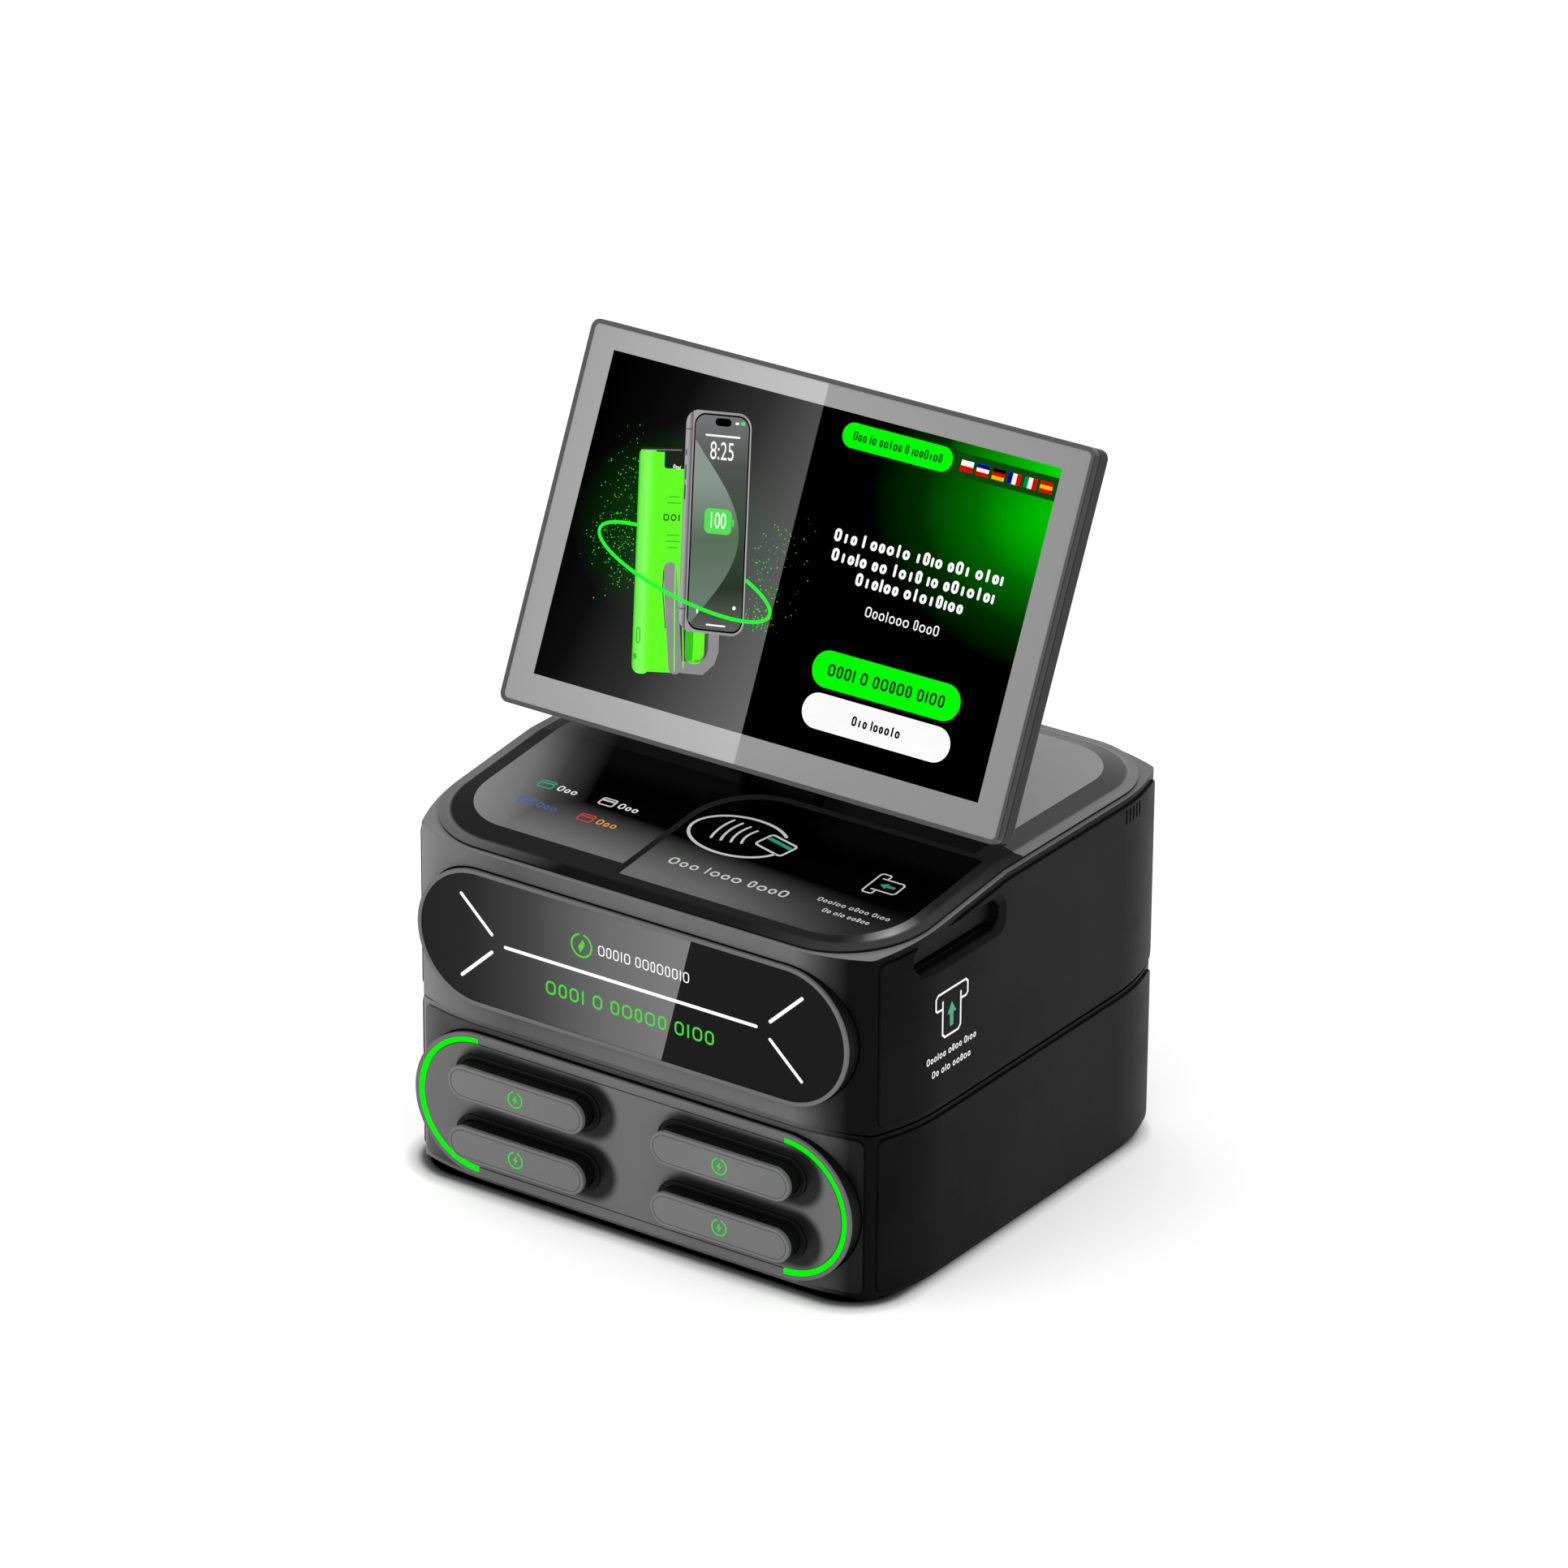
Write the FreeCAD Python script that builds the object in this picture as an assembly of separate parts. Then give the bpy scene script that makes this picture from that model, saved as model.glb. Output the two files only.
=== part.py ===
import FreeCAD
import Part
import math
import os

# Countertop power-bank rental station: two stacked housings, a touch screen on
# a friction hinge, a payment top and four power banks in sprung-lock slots.
# +X is the user's right, -Y faces the user, +Z is up, Z = 0 is the table.

V = FreeCAD.Vector
os.makedirs("parts", exist_ok=True)

# ---- driving dimensions, mm ------------------------------------------------
body_half_width = 118.0
body_half_depth = 108.2
tip_inset = 7.8            # how far each corner tip sits inside the flat sides
corner_run = 36.0          # length of each gentle arc, measured from the tip
tip_radius = 4.0
wall = 2.4

plinth_height = 2.8        # the lower housing starts here
seam_z = 74.9              # line between the two housings
seam_gap = 1.0
lower_front_setback = 2.2  # the lower front is flatter than the upper one
lip_height = 7.0
lip_wall = 2.6

roof_z = 160.4             # flat rear part of the roof
roof_slope = 0.113         # fall of the front part, mm per mm
crease_from_centre = 18.5  # the roof bends this far in front of the centre
split_from_centre = 5.0    # joint of the two top plates, in front of the centre

panel_proud = 1.0
panel_sunk = 1.2
panel_end_inset = 2.6      # from a corner tip to a side panel's end
panel_roof_drop = 3.0
panel_seam_drop = 2.1
panel_corner = 3.0
panel_foot_z = 5.0
front_panel_proud = 0.8
front_panel_half_width = 107.6
front_panel_top_drop = 2.6

ring_half_width = 116.0
ring_half_depth = 106.4
ring_radius = 38.0
ring_band = 3.3            # flat rim of the top plates
bevel_band = 10.0          # sloping band inside the rim
gasket_height = 1.1
gasket_inset = 0.3
ring_thickness = 0.6
bevel_rise = 2.7
top_plate_floor = 2.0
plateau_radius = 27.0
cover_gap = 0.15           # half the joint between the two top plates

pad_left = -13.5           # left edge of the sunk tap pad
pad_depth = 1.35
pad_wall_run = 1.6
pad_corner = 28.0

sign_z = 113.05
sign_straight_half = 75.2
sign_radius = 29.9
sign_rim_width = 1.7
sign_depth = 17.0
sign_wall = 2.0
face_sheet = 1.2           # thickness of the bright front sheets
window_thickness = 0.9
boss_proud = 1.8           # sign and slot faces, in front of the upper front
boss_clearance = 0.5
flange_reach = 3.0         # the faces' inner flanges bear on the housing walls
flange_thickness = 2.0

bezel_z = 38.3
bezel_straight_half = 75.4
bezel_radius = 31.9
bezel_body_inset = 0.4
bezel_plate = 3.0
bezel_depth = 15.0
light_radius = 28.9
light_width = 2.1
light_depth = 0.9
groove_width = 0.5

slot_pitch_x = 100.5
slot_pitch_z = 27.1
bank_straight_half = 26.4
bank_radius = 6.8
bank_length = 128.0
cap_radius = 7.3
cap_thickness = 2.0
cap_proud = 9.0            # cap face in front of the slot face
cap_line_inset = 1.3
bank_clearance = 0.4
sleeve_wall = 1.2
collar_straight_half = 27.0
collar_radius = 9.0
collar_proud = 1.1
collar_depth = 5.6
contact_gap = 0.4

lock_arm = 14.0
lock_pin_radius = 1.5
lock_pin_clearance = 0.05
lock_thickness = 3.0
lock_boss_radius = 3.2
lock_from_face = 85.0      # lock pivot, behind the slot face
lock_gap = 0.5             # tooth to sleeve when open
lock_tooth_length = 5.95   # pivot to tooth tip, across the slot
motor_gap = 2.45           # motor to sleeve
motor_width = 12.0
rib_thickness = 2.0
lock_tooth = 3.0
lock_notch_depth = 4.6
lock_notch_length = 8.0
lock_notch_shift = 1.5     # notch centre behind the tooth, for its swing

pocket_front = -79.5       # card pocket in the right side, rim limits
pocket_rear = -15.5
pocket_low = 136.0
pocket_high = 153.6
pocket_cut_corner = 4.0
pocket_chamfer = 2.3
pocket_depth = 6.0
pocket_wall = 1.6
pocket_back = 5.0
card_slot_width = 56.0
card_slot_height = 2.6
reader_depth = 46.0

vent_count = 5
vent_pitch = 2.8
vent_width = 1.2
vent_height = 6.2
vent_front = 71.0
vent_top_drop = 1.3        # below the side panel's top edge

screen_half_width = 121.9
screen_half_height = 80.2
screen_corner = 4.0
screen_centre_z = 250.93
screen_centre_from_body = 0.86
screen_lean = 24.4
glass_rim = 1.8
glass_thickness = 1.8
frame_depth = 3.5
frame_proud = 0.3
casing_depth = 11.5
casing_wall = 2.0
shadow_line = 0.4
lcd_half_width = 112.0
lcd_half_height = 71.0
lcd_thickness = 3.0

pivot_behind_back = 16.5   # hinge axis, behind the screen's flat back
pivot_above_bottom = 12.5  # hinge axis, up the screen from its bottom edge
hinge_pin_radius = 3.0
hinge_pin_clearance = 0.05
knuckle_radius = 6.5
knuckle_half_width = 15.0
ear_gap = 0.4
ear_width = 5.0
ear_radius = 7.0
leaf_half_width = 28.0
leaf_thickness = 2.5

rear_panel_half_width = 84.0
rear_panel_low = 12.0
rear_panel_high = 142.0
rear_panel_proud = 0.8
rear_opening_margin = 10.0
inlet_x = 46.0
inlet_z = 37.0
foot_radius = 9.0
foot_height = 1.0
screw_head_radius = 2.6
screw_head_height = 1.3
screw_shank_radius = 1.3
screw_length = 8.0
boss_radius = 5.0          # screw bosses inside the lower housing
boss_height = 14.0
boss_from_centre = 46.0
glyph_radius = 3.7         # round charge mark sunk in each cap
glyph_line = 0.55
glyph_depth = 0.2

# ---- worked-out places -----------------------------------------------------
front_extent = body_half_depth + boss_proud + cap_proud
rear_extent = body_half_depth + rear_panel_proud
body_y = (front_extent - rear_extent) / 2      # keeps the whole box centred on Y
front_y = body_y - body_half_depth
rear_y = body_y + body_half_depth
face_y = front_y - boss_proud
cap_face_y = face_y - cap_proud
tip_x = body_half_width - tip_inset
tip_y = body_half_depth - tip_inset
crease_y = body_y - crease_from_centre
split_y = body_y - split_from_centre
ring_top = roof_z + gasket_height + ring_thickness
plateau_z = ring_top + bevel_rise
upper_foot_z = seam_z + seam_gap / 2
lower_head_z = seam_z - seam_gap / 2
lock_y = face_y + lock_from_face
bore_radius = bank_radius + bank_clearance
sleeve_side_x = slot_pitch_x / 2 + bank_straight_half + bore_radius + sleeve_wall
lock_pivot_x = sleeve_side_x + lock_gap + lock_tooth_length
motor_x = sleeve_side_x + motor_gap
rib_x = motor_x + motor_width
bank_front_y = cap_face_y + cap_thickness
bank_rear_y = bank_front_y + bank_length
sleeve_front_y = face_y - collar_proud + collar_depth
sleeve_rear_y = bank_rear_y + 2.0
far = 400.0


# ---- helpers ---------------------------------------------------------------
def save(shape, node):
    shape.exportStep("parts/" + node + ".step")


def box(x0, x1, y0, y1, z0, z1):
    return Part.makeBox(x1 - x0, y1 - y0, z1 - z0, V(x0, y0, z0))


def rod(radius, start, direction, length):
    return Part.makeCylinder(radius, length, start, direction)


def join(shapes):
    whole = shapes[0]
    for extra in shapes[1:]:
        whole = whole.fuse(extra)
    return whole.removeSplitter()


def turned(x, y, sign_x, sign_y):
    return V(x * sign_x, body_y + y * sign_y, 0)


def circles_meet(c1, r1, c2, r2, near):
    # crossing point of two circles, the one closer to the point near
    dx = c2[0] - c1[0]
    dy = c2[1] - c1[1]
    gap = math.hypot(dx, dy)
    along = (gap * gap + r1 * r1 - r2 * r2) / (2 * gap)
    across = math.sqrt(r1 * r1 - along * along)
    mid = (c1[0] + along * dx / gap, c1[1] + along * dy / gap)
    picks = []
    for side in (1, -1):
        picks.append((mid[0] - side * across * dy / gap, mid[1] + side * across * dx / gap))
    return min(picks, key=lambda p: math.hypot(p[0] - near[0], p[1] - near[1]))


def on_circle(centre, radius, through):
    reach = math.hypot(through[0] - centre[0], through[1] - centre[1])
    return (centre[0] + (through[0] - centre[0]) * radius / reach,
            centre[1] + (through[1] - centre[1]) * radius / reach)


def corner_arcs(inset, end_half):
    # one corner in the +X +Y quadrant, from the side's flat to the end's flat
    side_sag = body_half_width - tip_x
    side_r = (corner_run ** 2 + side_sag ** 2) / (2 * side_sag)
    side_c = (body_half_width - side_r, tip_y - corner_run)
    end_sag = end_half - tip_y
    end_r = (corner_run ** 2 + end_sag ** 2) / (2 * end_sag)
    end_c = (tip_x - corner_run, end_half - end_r)
    tip = (tip_x, tip_y)
    side_flat = (body_half_width - inset, side_c[1])
    end_flat = (end_c[0], end_half - inset)
    round_r = tip_radius - inset
    if round_r > 0.3:
        c = circles_meet(side_c, side_r - tip_radius, end_c, end_r - tip_radius, tip)
        a = on_circle(side_c, side_r - inset, c)
        b = on_circle(end_c, end_r - inset, c)
        tip_arc = (a, on_circle(c, round_r, tip), b)
    else:
        a = circles_meet(side_c, side_r - inset, end_c, end_r - inset, tip)
        b = a
        tip_arc = None
    side_mid = on_circle(side_c, side_r - inset, ((side_flat[0] + a[0]) / 2, (side_flat[1] + a[1]) / 2))
    end_mid = on_circle(end_c, end_r - inset, ((end_flat[0] + b[0]) / 2, (end_flat[1] + b[1]) / 2))
    arcs = [(side_flat, side_mid, a)]
    if tip_arc:
        arcs.append(tip_arc)
    arcs.append((b, end_mid, end_flat))
    return arcs


def outline(inset, z, front_half=None):
    # closed plan outline, inset from the outer skin (negative = outside it)
    front_half = body_half_depth if front_half is None else front_half
    edges = []
    last = None
    first = None
    for sign_x, sign_y in ((1, 1), (-1, 1), (-1, -1), (1, -1)):
        arcs = corner_arcs(inset, body_half_depth if sign_y > 0 else front_half)
        if sign_x * sign_y < 0:
            arcs = [(c, b, a) for a, b, c in reversed(arcs)]
        for a, b, c in arcs:
            pa, pb, pc = [turned(p[0], p[1], sign_x, sign_y) for p in (a, b, c)]
            if last and last.distanceToPoint(pa) > 0.001:
                edges.append(Part.makeLine(last, pa))
            first = first or pa
            edges.append(Part.Arc(pa, pb, pc).toShape())
            last = pc
    edges.append(Part.makeLine(last, first))
    wire = Part.Wire(edges)
    wire.translate(V(0, 0, z))
    return wire


def slab(wire, height):
    return Part.Face(wire).extrude(V(0, 0, height))


def body_block(inset, z0, z1, front_half=None):
    return slab(outline(inset, z0, front_half), z1 - z0)


def above_roof(drop):
    # everything above the roof surface lowered by drop
    low = roof_z - drop
    reach = crease_y + far
    points = [V(-far, crease_y + far, low), V(-far, crease_y, low),
              V(-far, crease_y - far, low - roof_slope * far),
              V(-far, crease_y - far, roof_z + far), V(-far, reach, roof_z + far)]
    return Part.Face(Part.makePolygon(points + points[:1])).extrude(V(2 * far, 0, 0))


def creased(shape):
    # a shape built over the flat roof, bent down in front of the crease
    matrix = FreeCAD.Matrix()
    matrix.A32 = roof_slope
    matrix.A34 = -roof_slope * crease_y
    rear = shape.common(box(-far, far, crease_y, far, -far, far))
    front = shape.common(box(-far, far, -far, crease_y, -far, far)).transformGeometry(matrix)
    return rear.fuse(front)


def sheared(shape):
    matrix = FreeCAD.Matrix()
    matrix.A32 = roof_slope
    matrix.A34 = -roof_slope * crease_y
    return shape.transformGeometry(matrix)


def round_rect(half_w, half_d, radius, z, centre_y=None):
    cy = body_y if centre_y is None else centre_y
    k = radius * (1 - math.sqrt(0.5))
    edges = []
    last = None
    for sx, sy in ((1, 1), (-1, 1), (-1, -1), (1, -1)):
        side = V(sx * half_w, cy + sy * (half_d - radius), z)
        mid = V(sx * (half_w - k), cy + sy * (half_d - k), z)
        end = V(sx * (half_w - radius), cy + sy * half_d, z)
        a, c = (side, end) if sx * sy > 0 else (end, side)
        if last:
            edges.append(Part.makeLine(last, a))
        else:
            first = a
        edges.append(Part.Arc(a, mid, c).toShape())
        last = c
    edges.append(Part.makeLine(last, first))
    return Part.Wire(edges)


def stadium(half, radius, y, xc=0.0, zc=0.0):
    # stadium outline standing in the XZ plane
    a = V(xc + half, y, zc - radius)
    b = V(xc + half + radius, y, zc)
    c = V(xc + half, y, zc + radius)
    d = V(xc - half, y, zc + radius)
    e = V(xc - half - radius, y, zc)
    f = V(xc - half, y, zc - radius)
    return Part.Wire([Part.Arc(a, b, c).toShape(), Part.makeLine(c, d),
                      Part.Arc(d, e, f).toShape(), Part.makeLine(f, a)])


def stadium_block(half, radius, y0, y1, xc=0.0, zc=0.0):
    return Part.Face(stadium(half, radius, y0, xc, zc)).extrude(V(0, y1 - y0, 0))


def stadium_ring(half, outer, inner, y0, y1, xc=0.0, zc=0.0):
    return stadium_block(half, outer, y0, y1, xc, zc).cut(stadium_block(half, inner, y0, y1, xc, zc))


def rounded_profile(points, radius):
    # closed wire through points in one plane, every corner rounded alike
    edges = []
    n = len(points)
    cuts = []
    for i in range(n):
        p, q, r = points[i - 1], points[i], points[(i + 1) % n]
        u = (p - q).normalize()
        w = (r - q).normalize()
        half = math.acos(max(-1.0, min(1.0, u.dot(w)))) / 2
        back = radius / math.tan(half)
        centre = q + (u + w).normalize() * (radius / math.sin(half))
        mid = centre + (q - centre).normalize() * radius
        cuts.append((q + u * back, mid, q + w * back))
    for i in range(n):
        a, m, b = cuts[i]
        edges.append(Part.Arc(a, m, b).toShape())
        edges.append(Part.makeLine(b, cuts[(i + 1) % n][0]))
    return Part.Wire(edges)


def skin_ring(proud, front_half=None):
    # the thin shell that the skin panels are cut from
    outer = body_block(-proud, 0, roof_z + 10, front_half)
    return outer.cut(body_block(panel_sunk, 0, roof_z + 10, front_half))


def side_window(z0, z1, sign_x, roofed):
    # prism along X that bounds a side panel
    y0 = body_y - (tip_y - panel_end_inset)
    y1 = body_y + (tip_y - panel_end_inset)
    if roofed:
        top = roof_z - panel_roof_drop
        points = [V(0, y0, z0), V(0, y1, z0), V(0, y1, top), V(0, crease_y, top),
                  V(0, y0, top - roof_slope * (crease_y - y0))]
    else:
        points = [V(0, y0, z0), V(0, y1, z0), V(0, y1, z1), V(0, y0, z1)]
    wire = rounded_profile(points, panel_corner)
    return Part.Face(wire).extrude(V(sign_x * far, 0, 0))


def screw_at(point, direction):
    head = rod(screw_head_radius, point, direction, screw_head_height)
    shank = rod(screw_shank_radius, point, direction, screw_length)
    driver = box(-1.6, 1.6, -0.35, 0.35, -0.1, 0.7).fuse(box(-0.35, 0.35, -1.6, 1.6, -0.1, 0.7))
    driver.Placement = FreeCAD.Placement(point, FreeCAD.Rotation(V(0, 0, 1), direction))
    return head.fuse(shank).cut(driver).removeSplitter()


def screw_room(point, direction):
    head = rod(screw_head_radius, point - direction * 5, direction, 5 + screw_head_height)
    return head.fuse(rod(screw_shank_radius, point, direction, screw_length))


def charge_mark(xc, zc):
    # an open ring round a plain bolt, as a cutter for the cap's face
    start = V(xc, cap_face_y - 1, zc)
    ring = rod(glyph_radius, start, V(0, 1, 0), 1 + glyph_depth)
    ring = ring.cut(rod(glyph_radius - glyph_line, start, V(0, 1, 0), 1 + glyph_depth))
    ring = ring.cut(box(xc - 0.8, xc + 0.8, cap_face_y - 2, cap_face_y + 2, zc, zc + 2 * glyph_radius))
    corners = []
    for dx, dz in ((0.55, 2.3), (-1.25, -0.35), (-0.15, -0.35), (-0.55, -2.3), (1.25, 0.35), (0.15, 0.35)):
        corners.append(V(xc + dx, cap_face_y - 1, zc + dz))
    bolt = Part.Face(Part.makePolygon(corners + corners[:1])).extrude(V(0, 1 + glyph_depth, 0))
    return ring.fuse(bolt)


# ---- the skins -------------------------------------------------------------
lower_front_half = body_half_depth - lower_front_setback
upper_skin = skin_ring(panel_proud)
lower_skin = skin_ring(panel_proud, lower_front_half)
upper_panels = {}
lower_panels = {}
for side_name, sign_x in (("left", -1), ("right", 1)):
    upper_window = side_window(upper_foot_z + panel_seam_drop, 0, sign_x, True)
    upper_panels[side_name] = upper_skin.common(upper_window)
    lower_window = side_window(panel_foot_z, lower_head_z - panel_seam_drop, sign_x, False)
    lower_panels[side_name] = lower_skin.common(lower_window)

front_skin = skin_ring(front_panel_proud, lower_front_half)
front_points = [V(-front_panel_half_width, 0, panel_foot_z), V(front_panel_half_width, 0, panel_foot_z),
                V(front_panel_half_width, 0, seam_z - front_panel_top_drop),
                V(-front_panel_half_width, 0, seam_z - front_panel_top_drop)]
front_window = Part.Face(rounded_profile(front_points, panel_corner)).extrude(V(0, -far, 0))
front_panel = front_skin.common(front_window)

rear_points = [V(-rear_panel_half_width, 0, rear_panel_low), V(rear_panel_half_width, 0, rear_panel_low),
               V(rear_panel_half_width, 0, rear_panel_high), V(-rear_panel_half_width, 0, rear_panel_high)]
rear_window = Part.Face(rounded_profile(rear_points, panel_corner)).extrude(V(0, far, 0))
rear_panel = skin_ring(rear_panel_proud).common(rear_window)

# ---- card pocket voids -----------------------------------------------------
pocket_mid_y = (pocket_front + pocket_rear) / 2
pocket_mid_z = (pocket_low + pocket_high) / 2
panel_face_x = body_half_width + panel_proud


def pocket_wire(x, grow):
    half_y = (pocket_rear - pocket_front) / 2 + grow
    half_z = (pocket_high - pocket_low) / 2 + grow
    cut = pocket_cut_corner
    points = []
    for sy, sz in ((-1, -1), (1, -1), (1, 1), (-1, 1)):
        near = V(x, pocket_mid_y + sy * half_y, pocket_mid_z + sz * (half_z - cut))
        far_end = V(x, pocket_mid_y + sy * (half_y - cut), pocket_mid_z + sz * half_z)
        points += [near, far_end] if sy * sz > 0 else [far_end, near]
    return Part.makePolygon(points + points[:1])


rim_x = panel_face_x - pocket_chamfer
pocket_mouth = Part.makeLoft([pocket_wire(rim_x, -pocket_chamfer),
                              pocket_wire(rim_x + 2 * pocket_chamfer, pocket_chamfer)], True, True)
pocket_back_x = panel_face_x - pocket_depth
pocket_well = Part.Face(pocket_wire(pocket_back_x, -pocket_chamfer)).extrude(V(pocket_depth + 2, 0, 0))
pocket_void = pocket_mouth.fuse(pocket_well)
slot_low = pocket_low + pocket_chamfer + 0.3
card_slot = box(0, panel_face_x, pocket_mid_y - card_slot_width / 2, pocket_mid_y + card_slot_width / 2,
                slot_low, slot_low + card_slot_height)
card_slot_inner = card_slot.common(box(pocket_back_x - reader_depth + 6, panel_face_x, -far, far, 0, far))

vent_top = roof_z - panel_roof_drop - vent_top_drop
vents = []
for i in range(vent_count):
    y = vent_front + i * vent_pitch
    vents.append(box(body_half_width - 20, body_half_width + 5, y, y + vent_width,
                     vent_top - vent_height, vent_top))
vent_cut = Part.makeCompound(vents)

# ---- lower housing, base and feet ------------------------------------------
slot_mouth = stadium_block(bezel_straight_half, bezel_radius - bezel_body_inset + boss_clearance,
                           face_y - 5, face_y + 25, 0, bezel_z)
rear_access = box(-(rear_panel_half_width - rear_opening_margin), rear_panel_half_width - rear_opening_margin,
                  rear_y - 20, rear_y + 5, rear_panel_low + rear_opening_margin,
                  rear_panel_high - rear_opening_margin)
lower_housing = body_block(0, plinth_height, lower_head_z, lower_front_half)
lower_housing = lower_housing.cut(body_block(wall, plinth_height - 1, lower_head_z + 1, lower_front_half))
lip = body_block(wall, lower_head_z - lip_height, upper_foot_z + lip_height)
lip = lip.cut(body_block(wall + lip_wall, lower_head_z - lip_height - 1, upper_foot_z + lip_height + 1))
lower_housing = lower_housing.fuse(lip)
for solid in (lower_panels["left"], lower_panels["right"], front_panel, rear_panel, slot_mouth, rear_access):
    lower_housing = lower_housing.cut(solid)
lower_housing = lower_housing.removeSplitter()
front_panel = front_panel.cut(slot_mouth).removeSplitter()

base_top = plinth_height + 2.4
base_tray = body_block(wall, foot_height, base_top, lower_front_half)
rib_top = bezel_z + slot_pitch_z / 2 + 10
for side_x in (rib_x, -rib_x - rib_thickness):
    rib = box(side_x, side_x + rib_thickness, lock_y - 30, lock_y + 20, base_top - 1, rib_top)
    base_tray = base_tray.fuse(rib)
foot_x = body_half_width - 32
foot_y = body_half_depth - 32
feet = []
base_screw_points = []
boss_x = body_half_width - wall - boss_radius + 1
for sx in (-1, 1):
    for sy in (-1, 1):
        feet.append(rod(foot_radius, V(sx * foot_x, body_y + sy * foot_y, 0), V(0, 0, 1), foot_height))
        base_screw_points.append(V(sx * boss_x, body_y + sy * boss_from_centre, foot_height))
rear_screw_points = []
for sx in (-1, 1):
    for z in (rear_panel_low + 5, rear_panel_high - 5):
        rear_screw_points.append(V(sx * (rear_panel_half_width - 14), rear_extent + body_y, z))

upper_housing = body_block(0, upper_foot_z, roof_z + 5).cut(above_roof(0))
inner = body_block(wall, upper_foot_z - 1, roof_z + 5).cut(above_roof(wall))
upper_housing = upper_housing.cut(inner)
roof_opening = slab(round_rect(88, 76, 12, 100), 100)
sign_mouth = stadium_block(sign_straight_half, sign_radius + boss_clearance, face_y - 5, face_y + 25, 0, sign_z)
upper_right = upper_panels["right"].cut(pocket_void).cut(vent_cut)
for solid in (upper_panels["left"], upper_panels["right"], rear_panel, roof_opening, sign_mouth,
              pocket_void, vent_cut, rear_access):
    upper_housing = upper_housing.cut(solid)
upper_housing = upper_housing.removeSplitter()

cover_screws = []
for point in base_screw_points:
    cover_screws.append(screw_at(point, V(0, 0, 1)))
    base_tray = base_tray.cut(screw_room(point, V(0, 0, 1)))
    boss = rod(boss_radius, V(point.x, point.y, base_top), V(0, 0, 1), boss_height)
    boss = boss.common(body_block(wall / 2, base_top, lower_head_z))
    lower_housing = lower_housing.fuse(boss).cut(screw_room(point, V(0, 0, 1)))
for point in rear_screw_points:
    cover_screws.append(screw_at(point, V(0, -1, 0)))
    rear_panel = rear_panel.cut(screw_room(point, V(0, -1, 0)))
    lower_housing = lower_housing.cut(screw_room(point, V(0, -1, 0)))
    upper_housing = upper_housing.cut(screw_room(point, V(0, -1, 0)))

# ---- rear panel vents, power inlet and switch ------------------------------
inlet_half_width = 24.0
inlet_half_height = 13.5
rear_face_y = rear_y + rear_panel_proud
for row_z in (112.0, 122.0):
    for i in range(9):
        x = -56 + i * 14
        rear_panel = rear_panel.cut(box(x, x + 10, rear_y - 10, rear_y + 5, row_z, row_z + 2.4))
inlet_hole = box(inlet_x - inlet_half_width + 2, inlet_x + inlet_half_width - 2, rear_y - 20, rear_y + 5,
                 inlet_z - inlet_half_height + 2, inlet_z + inlet_half_height - 2)
rear_panel = rear_panel.cut(inlet_hole)
inner_face_y = rear_y - panel_sunk
inlet = box(inlet_x - inlet_half_width, inlet_x + inlet_half_width, inner_face_y - 2, inner_face_y,
            inlet_z - inlet_half_height, inlet_z + inlet_half_height)
inlet = inlet.fuse(box(inlet_x - inlet_half_width + 2, inlet_x + inlet_half_width - 2, inner_face_y - 18,
                       rear_face_y - 0.2, inlet_z - inlet_half_height + 2, inlet_z + inlet_half_height - 2))
socket_x = inlet_x + 7
socket_points = [V(socket_x - 12, 0, inlet_z - 8), V(socket_x + 12, 0, inlet_z - 8),
                 V(socket_x + 12, 0, inlet_z + 3), V(socket_x + 7, 0, inlet_z + 8),
                 V(socket_x - 7, 0, inlet_z + 8), V(socket_x - 12, 0, inlet_z + 3)]
socket = Part.Face(rounded_profile(socket_points, 1.2)).extrude(V(0, 15, 0))
socket.translate(V(0, rear_face_y - 15, 0))
inlet = inlet.cut(socket)
for dx, dz in ((-7, -2), (0, 2), (7, -2)):
    inlet = inlet.fuse(box(socket_x + dx - 1, socket_x + dx + 1, rear_face_y - 16, rear_face_y - 5,
                           inlet_z + dz - 2, inlet_z + dz + 2))
rocker_x = inlet_x - 14
rocker_half_width = 4.6
rocker_radius = 9.0
rocker_axis_y = rear_face_y - 7.8
rocker_clearance = 0.4
room_half_width = rocker_half_width + rocker_clearance
room_half_height = rocker_radius + 0.8
rocker_room = box(rocker_x - room_half_width, rocker_x + room_half_width, rocker_axis_y - 8, rear_face_y + 1,
                  inlet_z - room_half_height, inlet_z + room_half_height)
inlet = inlet.cut(rocker_room)
rocker_pin = rod(1.2, V(rocker_x - rocker_half_width - 1.5, rocker_axis_y, inlet_z), V(1, 0, 0),
                 2 * rocker_half_width + 3)
inlet = inlet.fuse(rocker_pin).removeSplitter()
rocker = rod(rocker_radius, V(rocker_x - rocker_half_width, rocker_axis_y, inlet_z), V(1, 0, 0),
             2 * rocker_half_width)
rocker = rocker.common(box(-far, far, rocker_axis_y - 2.2, far, -far, far))
dish = rod(16.0, V(rocker_x - rocker_half_width - 1, rocker_axis_y + 21.5, inlet_z), V(1, 0, 0),
           2 * rocker_half_width + 2)
rocker = rocker.cut(dish)
rocker = rocker.cut(rod(1.25, V(rocker_x - 20, rocker_axis_y, inlet_z), V(1, 0, 0), 40))
rocker.rotate(V(rocker_x, rocker_axis_y, inlet_z), V(1, 0, 0), 9)

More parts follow.
